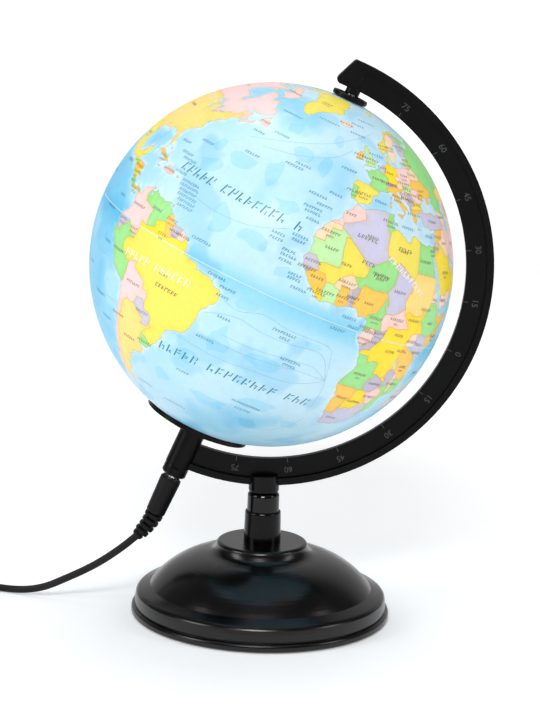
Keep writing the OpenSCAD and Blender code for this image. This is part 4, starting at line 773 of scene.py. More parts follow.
# Borders on land, and the shore round the south pole; a row that ends in a comma goes on in the next
BORDERS = """
-71.2 12.2, -72.3 11.1, -73.1 9.2, -72.3 7.4, -70.1 7, -67.5 6.2, -67.8 3.5, -66.9 1.2, -69.8 1.7, -69.4 -1,
-69.9 -4.2, -73 -5, -73.9 -7.3, -72.8 -9.4, -70.6 -9.5, -70.6 -11, -68.8 -11, -68.9 -14.2, -69.4 -16.4,
-69.5 -17.6, -68.5 -19.4, -68.1 -21.7, -67.1 -22.7

-69.5 -17.6, -70.9 -18.6
-69.9 -4.2, -73 -2.3, -75.2 -0.1, -77.5 0.4, -79.2 1.5
-75.2 -0.1, -75.5 -1.6, -78 -3.1, -78.7 -4.9, -80.3 -3.9, -80.8 -3.3
-68.8 -11, -65.3 -9.8, -65.3 -11.8, -62.2 -13.2, -60.3 -13.9, -60.1 -16.3, -58.4 -16.4, -57.6 -18,
-58.2 -20.1, -57.9 -22.1, -55.8 -22.3, -54.5 -24, -54.6 -25.6, -53.7 -26.7, -55.8 -28.3, -57.6 -30.2,
-56 -30.9, -53.6 -32.6, -53.2 -34

-58.2 -20.1, -59.2 -19.3, -61.8 -19.7, -62.7 -22.2, -64.5 -22.5, -66.2 -21.8, -67.1 -22.7, -68.4 -24.4,
-68.6 -27, -69.9 -29.8, -70.4 -33, -70.6 -35.4, -71.1 -38.2, -71.9 -40.5, -71.7 -44, -71.8 -46.6,
-73.2 -49.3, -72.3 -51, -71.9 -52, -68 -52.4

-68.6 -52.3, -68.6 -55.5
-62.7 -22.2, -60.4 -24, -57.7 -25.4, -58.6 -27.3, -56 -27.3, -54.6 -25.6
-57.6 -30.2, -58.2 -32.5, -58.3 -34.3
-59.7 8.6, -61 6.7, -60.7 5.2, -59.9 3.8, -59.6 1.9, -58.6 1.3, -56.5 1.9, -54.6 2.4, -52.7 2.3, -51.3 4.4
-60.7 5.2, -64.2 4.2, -63.5 2.2, -66.9 1.2
-57.1 6.2, -58 3.9, -56.5 1.9
-53.9 6, -54.4 4, -54.6 2.4
-77.4 8.8, -77.9 7.1
-82.4 9.8, -82.9 7.9
-83.5 10.9, -85.9 11.1
-83 15, -85.7 13.9, -87.4 12.9
-88.3 15.8, -89.3 14.5, -87.8 13.1
-89.3 14.5, -90.2 13.6
-88.2 18.5, -89.1 17.9, -91 17.8, -90.4 16.1, -91.8 16.1, -92.3 14.4
-89.1 17.9, -89.2 15.9, -88.5 15.9
-117.3 32.5, -114.8 32.7, -111 31.3, -108.2 31.4, -108.2 31.8, -106.4 31.8, -104.5 29.6, -103 29,
-101.4 29.8, -99.5 27.5, -96.9 25.8

-123.2 49, -95.2 49, -92.3 48.3, -89.5 48
-87 47.5, -84.4 46.5, -84.4 45.7
-82.6 45.2, -82.4 42.4, -79 42.7, -79.1 43.4, -76.5 43.8, -74.8 45, -71.5 45, -70.2 46.2, -69.2 47.4,
-67.8 47.1, -66.9 44.7

-141 69.9, -141 60.3, -137.5 59, -135.4 59.7, -133 57.6, -130.2 55.8, -130.3 54.2
25 31.9, 25 22, 37.2 22
25 22, 24 20, 24 19.5, 16 23.4, 14.5 22.8, 12 23.5, 10 24.6, 9.6 27.5, 9.9 30, 8 33.3, 8.4 36.4, 8.6 37.2
9.9 30, 10.3 32, 11.6 32.4, 11.4 33.3
12 23.5, 7 20.8, 4.2 19.2, 3.2 19, 1.2 21.1, -4.8 25, -8.7 27.3
-8.7 27.7, -8.7 28.7, -5.3 30, -1.2 32.2, -1.9 34.4, -2.1 35.4
-13.4 27.7, -8.7 27.7, -8.7 26, -12 26, -12 23.4, -13 23, -13 21.3, -17.3 21.3
-4.8 25, -6.5 25, -5.5 16.5, -5.5 15.5, -10.5 15.4, -12.2 14.8, -14 16.5, -16.7 16.1
-12.2 14.8, -11.4 12.4, -13.7 12.7, -17 12.5
-13.7 12.7, -13.8 11.7, -15.3 10.8
-11.4 12.4, -9.3 12.5, -8 10.3, -6.3 10.6, -5.4 10.4, -4.2 12.7, -2.8 14.1, -0.7 15, 0.3 14.9, 3.6 15.5,
4.2 16.8, 4.2 19.2

-13.5 9, -11.1 10, -10.3 8.5, -11.6 6.7
-10.3 8.5, -9.3 7.4, -8.4 7.6, -7.4 5.7, -7.6 4.2
-8 10.3, -8 8.5, -8.4 7.6
-5.4 10.4, -4.5 9.7, -2.8 9.6, -3 7, -3 4.9
-2.8 9.6, -2.8 11, 0.9 11.1, 2.3 12.4, 0.3 14.9
-0.1 11.1, 0.5 8.5, 1.2 5.9
0.9 11.1, 1.6 9, 1.7 6
2.3 12.4, 3.6 11.8, 4 13.5, 7 13.1, 10 13.3, 13.5 13.7, 14.2 12.6, 13.3 10.3, 11.3 6.8, 9 5.9, 8.6 4.4
3.6 11.8, 3.6 10, 2.7 8, 2.7 6.2
13.5 13.7, 15.5 16.9, 16 20.4, 14.5 22.8
14.2 12.6, 15.1 10.9, 15.6 10, 14 10, 15.5 7.6, 18.6 8, 20.5 9, 22.9 10.9, 22 13, 22.9 15.5, 24 15.7,
24 19.5
15.5 7.6, 14.5 5.3, 16.2 2.2, 18.6 3.4, 18.6 4.4, 22.5 4.2, 27.4 5.1, 25.2 7.5, 23.6 8.7, 22.9 10.9
23.6 8.7, 25 10.3, 28 9.4, 32.2 9.8, 32.8 12, 34.1 9.5, 33 7.8, 34.6 7, 36 4.5, 34 4.2, 31 3.7, 29.4 4.6,
27.4 5.1
34.1 9.5, 34.4 10.8, 36 12.7, 36.5 14.3, 37 17, 38.7 18.2
36.5 14.3, 40 14.5, 42.4 12.5, 41.8 11, 43 11, 43.3 11.6
42.4 12.5, 43.3 12.7
43 11, 44 9, 47 8, 48 8, 45 5, 42 4.2, 39.5 3.5, 36 4.5
42 4.2, 41 3, 41 -0.9, 41.8 -1.9
34 4.2, 34.6 1.2, 33.9 0.1
29.6 -1.2, 34.1 -1, 37.7 -3.2, 39.3 -4.8
31 3.7, 29.9 0.6, 29.6 -1.2, 29.1 -2.7, 29.2 -4.5
30.8 -1.1, 30.8 -2.4, 29 -2.7
30.8 -2.4, 29.6 -4.5, 29.2 -4.4
30.5 -8.3, 28.7 -8.5, 28.4 -11.6, 29.8 -12.3, 29.8 -13.5, 27 -12, 24 -11, 22.2 -11.2, 21.8 -7.3, 19.5 -7,
17 -8, 16.4 -5.9, 12.2 -6

24 -11, 24 -13, 22 -13, 22 -16.2, 23.4 -17.6, 25.3 -17.8, 27 -17.8, 28.9 -15.9, 30.3 -15.6
18.6 3.4, 17.8 -0.6, 16.2 -2.3, 15.3 -4.3, 13 -4.6, 12.1 -5.8
11.1 -4, 12.5 -2.2, 14.4 -2, 14 1.4, 13.3 2.2
9.5 2.2, 13.3 2.2, 16.2 2.2
9.2 1, 11.3 1, 11.3 2.2
30.5 -8.3, 33 -9.5, 34.2 -9.7
34.6 -11.6, 37.5 -11.7, 40.7 -10.4
33 -9.5, 33.2 -12.5, 32.7 -13.7, 33.2 -14, 30.2 -14.9, 30.3 -15.6
33.2 -14, 34.5 -14.5, 34.4 -16.2, 35.3 -17.1, 35.8 -16, 35.8 -14.6, 34.9 -13.4
30.3 -15.6, 32.9 -16.7, 32.6 -19.5, 31.3 -22.4, 29.4 -22.2, 27.2 -20.5, 25.3 -17.8
11.6 -17.3, 18.5 -17.4, 21 -18, 23.4 -17.6
21 -18, 21 -22, 20 -22, 20 -28.4, 17.4 -28.8, 16.2 -28.6
20 -24.8, 20.7 -26.8, 22.7 -25.5, 25.6 -25.7, 27 -23.7, 29.4 -22.2
31.3 -22.4, 32 -24.4, 32 -26.8, 33.1 -26.8
27 -29.6, 28.6 -28.6, 29.4 -29.6, 28 -30.6, 27 -29.6
31 -26.2, 32 -25.9, 32 -27.2, 30.9 -27.1, 31 -26.2
-9 41.9, -6.4 41.7, -7 39.7, -7.3 37
-2.4 43.8, 0.7 42.8, 4 42.3
7.5 43.6, 7 45.9, 6.1 46.3, 7.6 47.6, 8.2 49, 6.4 49.5, 4.2 50, 2.3 51.2
6.4 49.5, 6 50.8, 7 52.3, 7 53.6
6 50.8, 3.3 51.4
7 45.9, 9 46, 10.5 46.6, 13.7 46.5, 16.2 46.8, 18.9 45.9, 21 46.2, 22.8 48.1, 22.5 49.1, 18.8 49.5,
14.8 50.9, 14.3 54.1

7.6 47.6, 9.6 47.5, 13 47.6, 13.8 48.7, 12.3 50.3, 14.8 50.9
9.6 47.5, 10.5 46.6
13.8 48.7, 17 48.5, 22.8 48.1
17 48.5, 16.2 46.8
17 48.5, 18.8 49.5
22.5 49.1, 24 50.7, 23.6 52.2, 23.5 54, 22.8 54.4, 19.6 54.5
23.6 51.6, 31.5 52, 32.5 53.3, 31 54.7, 28 56, 28 57.6, 27.7 59.5
23.5 54, 26.7 55.7, 28 56
20.9 56.2, 24.5 56.4, 26.7 55.7
24.3 57.9, 27.8 57.5
31.5 52, 34 51.8, 35.5 50.4, 40 49.5, 38.3 47.2
28 60.4, 31.4 62.8, 29.4 66.6, 28.7 69, 31 70
11.5 58.9, 12.3 61.5, 12.1 63.8, 14.6 66.3, 18 68.5, 20.6 69.1, 25.7 69.6, 28.7 69
20.6 69.1, 23.8 67.5, 24.1 65.6
8.4 54.9, 10 54.8
22.8 48.1, 26.7 48.3, 28.2 46.3, 28.3 45.4, 29.9 45.3
26.7 48.3, 29.3 47.8, 30.3 46.3
21 46.2, 22.6 44.5, 25.5 43.7, 28.7 43.8
22.6 44.5, 22.9 41.3, 26.4 41.7, 26.2 40.6
26.4 41.7, 28.2 42
19.9 39.7, 21 40.9, 22.9 41.3
19.3 41.8, 20.5 42, 21 40.9
20.5 42, 22.5 42.3
18.9 45.9, 19.1 43.5, 18.4 42.4
19 44.9, 16 45.2, 16 44.2, 18.4 42.6
13.6 45.4, 15.6 45.8, 16.4 46.7
35.7 35.9, 37 36.7, 42.3 37.2, 44.8 37.3, 44.4 39.7, 43.5 41, 41.4 41.5
36 34.6, 35.8 33.3, 35.7 32.7, 39 32.3, 38.8 33.4, 41 34.4, 42.3 37.2
35.7 32.7, 34.9 29.4
34.2 31.4, 34.9 29.4, 36.1 29.2, 38 30.5, 37 31.5, 39 32.3, 42 31.1, 44.7 29.2, 46.5 29.1, 48.6 28.5
44.8 37.3, 45.5 35.8, 46 33, 47.7 31, 48.6 29.9
46.5 29.1, 48.1 30
42.6 16.4, 44 17.4, 47 17, 49 18.6, 52 19, 55 20, 55.7 22, 55.2 22.7, 52.6 22.9, 51.5 24.3
52 19, 53.2 16.4
55.2 22.7, 55.9 24.2, 56.4 24.9
44.4 39.7, 46.5 38.9, 49 38.4
39.9 43.5, 44 42.7, 48.5 41.8
43.5 41, 46.5 41.3
45 41.2, 46.5 38.9
53.8 37.3, 57 38.1, 61.2 35.6, 60.6 33.5, 61 31.5, 61 29.5, 63.2 27.2, 61.6 25
48.8 46.4, 47 48.3, 48.5 50, 55 50.8, 61 51, 61.5 53.8, 71 54.3, 77 53.5, 83 51, 87.3 49.1
52.4 42, 56 41.3, 56 45, 58.5 45.5
61 44.4, 66 42, 71 42.5, 80 42.2, 80.3 45, 82.5 45.2, 85.7 47.2, 87.3 49.1
56 41.3, 60 42, 66.5 37.4, 71 38, 75 37, 71 34.5, 69.5 32, 66.3 30, 61 29.5
61.2 35.6, 66.5 37.4
75 37, 80 42.2
68 23.8, 71 25, 70 28, 74.5 31, 74.5 33.5, 77.5 35.5, 75 37
77.5 35.5, 79 32.5, 81.3 30.2, 85 28.3, 88.8 27.8, 92 27.8, 97.3 28.2, 98.6 27.5, 97.7 24.4, 99 22,
101 21.6, 102 22.4, 105 23, 108.2 21.5

81.3 30.2, 80.2 28.8, 88.2 26.5, 88.8 27.8
97.3 28.2, 94.5 25, 93.2 22.2, 92.2 20.7
92.8 21.8, 92.2 25, 89.8 26, 88.2 25, 89 21.6
87.3 49.1, 91 46.5, 96.5 42.8, 105 41.6, 111.5 43.7, 119.8 46.7, 116 49.8, 108 49.5, 98 50.5, 87.3 49.1
116 49.8, 120 53.3, 126 53, 131 47.8, 135 48.4, 131 44.8, 130.6 42
124.2 39.8, 128 42, 130.8 42.4
126.3 37.8, 128.6 38.6
101 21.6, 100 20.4, 97.8 18.5, 98.6 16, 99.3 12, 98.4 10
100 20.4, 101 18, 104 18, 105.5 14.4, 107.5 14.5, 104 19.5, 102 22.4
107.5 14.5, 107.5 12.3, 104.5 10.3
102.7 11.9, 102.5 13.6, 105.5 14.4
100 6.5, 102.2 6.1
109.5 2, 111 1.2, 114.5 1.5, 117.9 4.2
141 -2.3, 141 -9.3
303 -63.4, 295 -65, 292.5 -68, 286 -72.5, 262 -73.2, 245 -74, 232 -75.5, 215 -76.5, 200 -77.5, 182 -77.8,
166 -77.6, 169 -72, 160 -69.5, 143 -66.9, 130 -66.2, 115 -66.6, 100 -66, 88 -66.9, 75 -69.4, 68 -67.8,
55 -66, 40 -69, 15 -69.6, 0 -69.6, -12 -71.3, -25 -74.5, -40 -77.6, -60 -75, -61 -69, -62 -65.5, -57 -63.4
"""

# A point in each sea, and in each country under the colour it is printed in
OCEANS = """
-40 20, -2 -26, -150 30, -150 -20, 75 -20, 75 5, 160 20, 160 -45, 38 20, 52 27, 18 58, 34 43, 50 42,
-88.1 47.4, -87 43.6, 59.8 45, -85 60, -60 75, 5 40
"""
COUNTRIES = {
    "lemon": "-102 24, -54 -9, -42 72, -4 40, 17 27, 8.8 61.5, 26.3 58.7, 25 43, 105 47, -3.7 17.3, "
             "-80.3 8.5",
    "corn": "-100 40, -64 -35, -152 65, 34 12, 67 50, 136 36.5, 132 33, 143.5 43.3, 134 -24, 146.7 -42",
    "gold": "24 -3, 24.5 2.6, 45 24, 29 8, -9.5 6.5, 24 -22.5, 96 20, 100 15, 9 51, 58 20, -60 1.5, "
            "-85 12.7, 28.7 46.8",
    "amber": "-86.5 14.5, -59 6.5, 8 9, 31 48.5, 12.6 43.5, -1.3 8, 35 -7, 17.5 -22, 46 4, 22 39.5, "
             "78 22, 29.6 -2, -11 10.5, -78.5 21.5, -7.7 53.4, 38.1 34.6, 144.9 -6.8",
    "lime": "-66 7, -75.5 -10, -55.8 -33, 2.3 47, 9.4 34.5, 29 26, 33.7 29.9, 9 18, 12.5 5.5, 17.5 -12.5, "
            "39.5 8, 37 -13.5, -84.1 9.9, -8 39.5, 80 60",
    "mint": "-10 20, -2 53.5, -7 7.5, -90 15.4, 10 2, 102 4.5, 114.5 3.4, 121 17, 125 8, 70 30, "
            "19.3 47.3, 25 56.9",
    "rose": "-74 5, -71.5 -1.6, -105 58, -72.2 68.2, -56 48.5, -64.5 -16.5, -52.9 4, -70.5 -29.3, -7 32, "
            "19.5 52, 25 46, 21 7, 12.1 1.1, 11.6 -1.5, 47 -19, 55 33, 29 -19.5, 34.2 -13.4, -71.6 18.8, "
            "17.7 44.1, 16.5 45.1",
    "blush": "-19 65, 18 49.2, 46 15.5, 38.9 15.4, 105 35, 120.8 23.5, 32.4 1.5",
    "lilac": "-14 14.5, -78.3 -1, -58.5 -23.5, 3 28, 18.5 15, 35 39, 37.5 1, 38.2 -1.8, 22 -31, 26.5 64, "
             "5 52, 36.4 31, 1.4 8.8",
    "slate": "-15 12, -56 4, 2.3 9, 8.2 46.8, 20.3 43.6, 64 41, 115 -1, 102 -1, 107.5 -7.3, 121.3 -2, "
             "138 -5, 85 28, 26.5 -14.5, 16.2 1.5, 15 -1.5",
    "peach": "-12 24.5, 15 62, 10.5 47.1, 27 53.5, 44 33, 58.5 38.8, 66 34, 90 24, 127 37, 175.7 -38.7, "
             "170.5 -44, -1.5 12.5, 45.7 41.1",
    "snow": "-120 -77, 107 -73, 296 -67",
}

# Patches of deeper sea floor: a longitude, a latitude, and two half widths in degrees
BASINS = """
-33.1 12.6 5 2.6, -26.7 -5.4 4 2.6, -59.1 26.3 5 3.2, -45 14 3.5 5, -50 32 6 3, -38 34 4 5, -28 26 5 2.4,
-21 8 4 2, -15 -20 6 3, -30 -19 4 5, -38 -29 5 3, -8 -36 8 3, -25 -43 9 3, -5 -46 5 3, -47 -42 4 3,
-33 44 5 3, -22 43 3 4, -42 52 4 3, -20 55 3 3, -90 -8 6 4, -84 -22 4 6, -95 5 5 3, -82 -40 5 4, -62 34 3 3,
62 -22 5 4, 70 -5 4 6, 60 8 4 4, -110 12 6 4, -118 -20 7 5, -135 5 6 6, -150 -30 8 5, 170 20 7 5,
150 30 6 4, 88 -15 6 6, 95 -35 7 4, 165 -15 4 5, -140 35 7 4, -165 -48 8 4, 10 -40 5 2, -3 -9 3 1.6
"""

# Printing inks, by name
INKS = {
    "lemon": (248, 230, 96), "corn": (255, 224, 130), "gold": (255, 226, 40), "amber": (255, 205, 92),
    "lime": (160, 230, 146), "mint": (196, 242, 176), "rose": (251, 214, 214), "blush": (252, 226, 218),
    "lilac": (206, 204, 230), "slate": (196, 190, 214), "peach": (254, 226, 196), "snow": (222, 232, 246),
}
SEA_INK = (198, 232, 246)
SHELF_INK = (214, 236, 246)
BASIN_INK = (146, 216, 242)
# Both the ink of deeper sea and a painted shade towards the bottom and the sides of the ball
DEEP_AND_SHADE_INK = (104, 200, 234)
SEAM_INK = (206, 226, 232)

ARM_LONGITUDE = 68.5
SHELL_WALL = 2 * MM
SEAM_LAT = 0.13
SEAM_DEPTH = 0.2 * MM
POLE_HOLE_R = {1: 5 * MM, -1: 20 * MM}
GRID_STEP, GRID_FEWEST = 2.5, 12
SHORE_STEP, BORDER_STEP = 0.7, 1.2
SHORE_WANDER, BORDER_WANDER = 0.13, 0.05
BORDER_OVERRUN = 0.9
BASIN_SIDES, BASIN_REACH, BASIN_STEPS = 9, (0.62, 1.12), 4
ATLAS_SEED, MARKS_SEED = 5, 9
# A seam point lies within this latitude, and its normal leans this much towards the equator
ON_SEAM, SEAM_LEAN = 0.01, 0.5
# Points round the seam and round the hole at a pole
SEAM_POINTS, HOLE_POINTS = 288, 96
PRINT_HEIGHT = 0.04 * MM
GLOW = 0.1
WATERS = ("sea", "basin")

# How much deeper the sea's colour gets, and where. Basins are where a noise passes a level, and the band of
# latitude by the equator is print. The southern band and the longitudes that lie far from the middle of the
# Atlantic are painted shade, darker towards the bottom and the sides of the ball as the camera sees it.
BASIN_SCALE, BASIN_LEVEL, BASIN_GAIN = 14, 0.45, 0.5
TROPIC_LAT, TROPIC_REACH, TROPIC_GAIN = -1, 6, 0.6
ATLANTIC_LON, ATLANTIC_HALF, ATLANTIC_FADE, FAR_PAINTED_SHADE = -20, 48, 40, 0.45
SOUTH_LAT, SOUTH_FADE, SOUTH_PAINTED_SHADE = -45, 20, 0.2

# Ink next to a printed line is weaker, and a patch of sea floor lies half way to the basin ink
EDGE_STRENGTH = 0.86
BASIN_SHARE = 0.5
OUTLINE_HALF = 0.09 * MM
STROKE_OVERRUN = 0.04 * MM
SHORE_INK, BORDER_INK = (120, 178, 200), (196, 150, 130)


def on_ball(lon, lat, height=0.0):
    """The point of the ball under a longitude and latitude, in the row frame."""
    turn, up = radians(lon - ARM_LONGITUDE), radians(lat)
    radius = BALL_R + height
    return POLAR @ Vector((radius * cos(up) * cos(turn), radius * cos(up) * sin(turn), radius * sin(up)))


def polylines(text):
    """Lines of longitude and latitude pairs; a row that ends in a comma goes on in the next."""
    rows = text.replace(",\n", ", ").split("\n")
    return [[Vector(map(float, pair.split())) for pair in row.split(", ")] for row in rows if row]


def wander(a, b, step, amount, draw):
    """The points from a up to b, displaced at each halving as a surveyed line would be."""
    across = cos(radians((a.y + b.y) / 2))
    span = Vector(((b.x - a.x) * across, b.y - a.y))
    if span.length < step:
        return [a]
    straight = a.x == b.x or a.y == b.y
    push = 0 if straight else draw.uniform(-amount, amount)
    mid = (a + b) / 2 + Vector((-span.y / max(across, 0.1), span.x)) * push
    return wander(a, mid, step, amount, draw) + wander(mid, b, step, amount, draw)


def drawn(points, closed, step, amount, draw):
    """A given line with the points between its own filled in."""
    ends = points[1:] + points[:1] if closed else points[1:]
    line = []
    for a, b in zip(points, ends):
        line += wander(a, b, step, amount, draw)
    return line + [line[0] if closed else points[-1]]


def overrun(points):
    """A border with both ends run on, so that it meets the shore or the next border."""
    first = (points[0] - points[1]).normalized() * BORDER_OVERRUN
    last = (points[-1] - points[-2]).normalized() * BORDER_OVERRUN
    return [points[0] + first] + points + [points[-1] + last]


def basin_outline(lon, lat, wide, high, draw):
    """A lobed patch of the sea floor."""
    points = []
    for k in range(BASIN_SIDES):
        angle = 2 * pi * k / BASIN_SIDES
        reach = draw.uniform(*BASIN_REACH)
        points.append(Vector((lon + wide * reach * cos(angle), lat + high * reach * sin(angle))))
    return points


def atlas_lines():
    """Every shore and border, and every patch of the sea floor, at full detail."""
    draw = random.Random(ATLAS_SEED)
    basins = [basin_outline(*p, draw) for p in polylines(BASINS.strip())[0]]
    shores = [drawn(p, True, SHORE_STEP, SHORE_WANDER, draw) for p in polylines(SHORES + LAKES)]
    borders = [overrun(p) for p in polylines(BORDERS)]
    basins = [through(p + p[:1], BASIN_STEPS)[:-1] for p in basins]
    shores += [drawn(p, True, SHORE_STEP, 0, draw) for p in basins]
    return shores + [drawn(p, False, BORDER_STEP, BORDER_WANDER, draw) for p in borders]


def flattened(lon, lat, side):
    """The polar projection that the triangulation works in: distance from the pole in degrees."""
    away = 90 - side * lat
    return Vector((away * cos(radians(lon)), away * sin(radians(lon))))


def unflattened(p, side):
    """The longitude and latitude of a point of the projection."""
    return degrees(math.atan2(p.y, p.x)), side * (90 - p.length)


def triangulate(lines, side):
    """One hemisphere's atlas as triangles, with the set of edges that a colour can't cross."""
    points, edges = [], []

    def add_line(line):
        for a, b in zip(line, line[1:]):
            if side * a.y < SEAM_LAT and side * b.y < SEAM_LAT:
                continue
            if side * a.y < SEAM_LAT:
                a = a + (b - a) * ((side * SEAM_LAT - a.y) / (b.y - a.y))
            if side * b.y < SEAM_LAT:
                b = b + (a - b) * ((side * SEAM_LAT - b.y) / (a.y - b.y))
            points.extend((flattened(a.x, a.y, side), flattened(b.x, b.y, side)))
            edges.append((len(points) - 2, len(points) - 1))

    for line in lines:
        add_line(line)
    hole_away = degrees(math.asin(POLE_HOLE_R[side] / BALL_R))
    for away, count in ((90, SEAM_POINTS), (90 - SEAM_LAT, SEAM_POINTS), (hole_away, HOLE_POINTS)):
        first = len(points)
        for k in range(count):
            angle = 2 * pi * k / count
            points.append(Vector((away * cos(angle), away * sin(angle))))
            edges.append((first + k, first + (k + 1) % count))
    away = hole_away + GRID_STEP
    while away < 90 - GRID_STEP / 2:
        count = max(GRID_FEWEST, round(360 * sin(radians(away)) / GRID_STEP))
        for k in range(count):
            angle = 2 * pi * (k + 0.5) / count
            points.append(Vector((away * cos(angle), away * sin(angle))))
        away += GRID_STEP
    flat, all_edges, faces, _, edge_sources, _ = geometry.delaunay_2d_cdt(points, edges, [], 0, 1e-6)
    walls = {tuple(sorted(e)) for e, source in zip(all_edges, edge_sources) if source}
    middles = [(flat[a] + flat[b] + flat[c]) / 3 for a, b, c in faces]
    kept = [face for face, mid in zip(faces, middles) if mid.length > hole_away]
    return flat, kept, walls


def regions(faces, walls):
    """The number of the walled-off region that each triangle is in."""
    beside = {}
    for index, face in enumerate(faces):
        for a, b in zip(face, face[1:] + face[:1]):
            beside.setdefault(tuple(sorted((a, b))), []).append(index)
    region = [None] * len(faces)
    count = 0
    for start in range(len(faces)):
        if region[start] is not None:
            continue
        region[start] = count
        todo = [start]
        while todo:
            face = faces[todo.pop()]
            for a, b in zip(face, face[1:] + face[:1]):
                edge = tuple(sorted((a, b)))
                if edge in walls:
                    continue
                for other in beside[edge]:
                    if region[other] is None:
                        region[other] = count
                        todo.append(other)
        count += 1
    return region, beside


def fill(flat, faces, region, side):
    """The ink of each triangle: a country's spreads from its points up to shores and borders."""
    corners = np.array([[flat[i][:] for i in face] for face in faces])
    inks, places = {}, []
    for name, text in [("sea", OCEANS), ("basin", BASINS)] + list(COUNTRIES.items()):
        for place in polylines(text.strip())[0]:
            if side * place.y < SEAM_LAT:
                continue
            here = flattened(place.x, place.y, side)
            found = triangle_at(corners, here)
            if found is not None:
                inks.setdefault(region[found], name)
            if name not in WATERS:
                places.append((on_ball(place.x, place.y), name))
    for lake in polylines(LAKES):
        middle = sum(lake, Vector((0, 0))) / len(lake)
        if side * middle.y > SEAM_LAT:
            inks[region[triangle_at(corners, flattened(middle.x, middle.y, side))]] = "sea"
    for index, face in enumerate(faces):
        middle = sum((flat[i] for i in face), Vector((0, 0))) / 3
        if middle.length > 90 - 0.9 * SEAM_LAT:
            inks[region[index]] = "seam"
        elif region[index] not in inks:
            here = on_ball(*unflattened(middle, side))
            inks[region[index]] = min(places, key=lambda p: (p[0] - here).length)[1]
    return [inks[r] for r in region]


def triangle_at(corners, here):
    """The number of the triangle that a point lies in, or None."""
    a, b, c = corners[:, 0], corners[:, 1], corners[:, 2]

    def turn(p, q):
        return (q[:, 0] - p[:, 0]) * (here[1] - p[:, 1]) - (q[:, 1] - p[:, 1]) * (here[0] - p[:, 0])

    signs = np.stack([turn(a, b), turn(b, c), turn(c, a)])
    inside = np.all(signs >= 0, axis=0) | np.all(signs <= 0, axis=0)
    found = np.flatnonzero(inside)
    return int(found[0]) if len(found) else None


def mixed(a, b, t):
    """A colour that is t of the way from a to b."""
    return tuple(x + (y - x) * t for x, y in zip(a, b))


def rising(value, start, span):
    """0 up to a start, then straight up to 1 over a span."""
    return min(1, max(0, (value - start) / span))


def sea_ink(lon, lat):
    """The colour of open sea: deeper in basins and by the equator, and darkened far away and in the south by
    painted shade.
    """
    basin = 0.5 + 0.5 * noise.fractal(on_ball(lon, lat) * BASIN_SCALE, 1.0, 2.0, 3)
    deep_and_shade = BASIN_GAIN * max(0, basin - BASIN_LEVEL)
    deep_and_shade += TROPIC_GAIN * (1 - rising(abs(lat - TROPIC_LAT), 0, TROPIC_REACH))
    # Painted shade: the sea darkens towards the sides and the bottom of the ball as the camera sees it
    deep_and_shade += FAR_PAINTED_SHADE * rising(abs(lon - ATLANTIC_LON), ATLANTIC_HALF, ATLANTIC_FADE)
    deep_and_shade += SOUTH_PAINTED_SHADE * rising(-lat, -SOUTH_LAT, SOUTH_FADE)
    return mixed(SEA_INK, DEEP_AND_SHADE_INK, min(1, deep_and_shade))


def is_printed_edge(first, second):
    """Whether two inks side by side have an outline between them."""
    return first != second and "seam" not in (first, second) and not (first in WATERS and second in WATERS)


def shell_points(places, side):
    """The shell's outer and inner points, and the outer normals: radial, but tilted at the seam."""
    outside, inside, normals = [], [], []
    for lon, lat in places:
        on_seam = abs(lat) < ON_SEAM
        outside.append(on_ball(lon, lat, -SEAM_DEPTH if on_seam else 0))
        inside.append(on_ball(lon, lat, -SHELL_WALL))
        radial = (outside[-1] - ball_mid).normalized()
        normals.append((radial - side * north * SEAM_LEAN).normalized() if on_seam else radial)
    return outside, inside, normals


def print_colours(mesh, ink, on_line, places):
    """Each corner's ink, with painted shade in the open sea, and 1 in its alpha on land and 0 on water."""
    seam, shelf, basin = (srgb(*colour)[:3] for colour in (SEAM_INK, SHELF_INK, BASIN_INK))
    # The open sea's colour holds painted shade towards the sides and the bottom of the ball
    open_sea = [srgb(*sea_ink(lon, lat))[:3] for lon, lat in places]
    values = []
    for polygon in mesh.polygons:
        kind = ink[polygon.index] if polygon.index < len(ink) else "seam"
        for vertex in polygon.vertices:
            if kind == "seam":
                values.append((*seam, 1))
            elif kind in WATERS:
                water = shelf if vertex in on_line else open_sea[vertex % len(places)]
                values.append((*(mixed(water, basin, BASIN_SHARE) if kind == "basin" else water), 0))
            else:
                red, green, blue, _ = srgb(*INKS[kind])
                strength = EDGE_STRENGTH if vertex in on_line else 1.0
                values.append((red, green * (0.5 + strength / 2), blue * strength ** 2, 1))
    return np.array(values, np.float32)


def make_half(name, node, lines, side):
    """A half shell: the printed outside with painted shade in its open sea, the plain inside, and the edges at
    seam and pole.
    """
    flat, faces, walls = triangulate(lines, side)
    region, beside = regions(faces, walls)
    ink = fill(flat, faces, region, side)
    used = sorted({i for face in faces for i in face})
    number = {old: new for new, old in enumerate(used)}
    total = len(used)
    places = [unflattened(flat[i], side) for i in used]
    outside, inside, normals = shell_points(places, side)
    shell = [tuple(number[i] for i in face) for face in faces]
    inner = [tuple(i + total for i in reversed(face)) for face in shell]
    rims = []
    for edge, near in beside.items():
        if len(near) == 1:
            a, b = (number[i] for i in edge)
            rims.append((a, b, b + total, a + total))
    mesh = mesh_from(name, outside + inside, shell + inner + rims)
    on_line = {number[i] for edge, near in beside.items() for i in edge
               if edge in walls and len(near) == 2 and is_printed_edge(ink[near[0]], ink[near[1]])}
    colours = mesh.attributes.new("print", "FLOAT_COLOR", "CORNER")
    colours.data.foreach_set("color", print_colours(mesh, ink, on_line, places).ravel())
    mesh.normals_split_custom_set_from_vertices(
        [tuple(n) for n in normals] + [tuple(-n) for n in normals])
    half = new_object(name, mesh, "globe")
    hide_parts(node)
    dress(half, MAP_PRINT)
    return shore_ribbons(flat, ink, beside, walls, side)


def ribbon(a, b, half_width):
    """A thin printed stroke between two points on the ball, as four corners."""
    out = ((a + b) / 2 - ball_mid).normalized()
    along = (b - a).normalized()
    across = out.cross(along).normalized() * half_width
    a, b = a - along * STROKE_OVERRUN, b + along * STROKE_OVERRUN
    return [a - across, b - across, b + across, a + across]


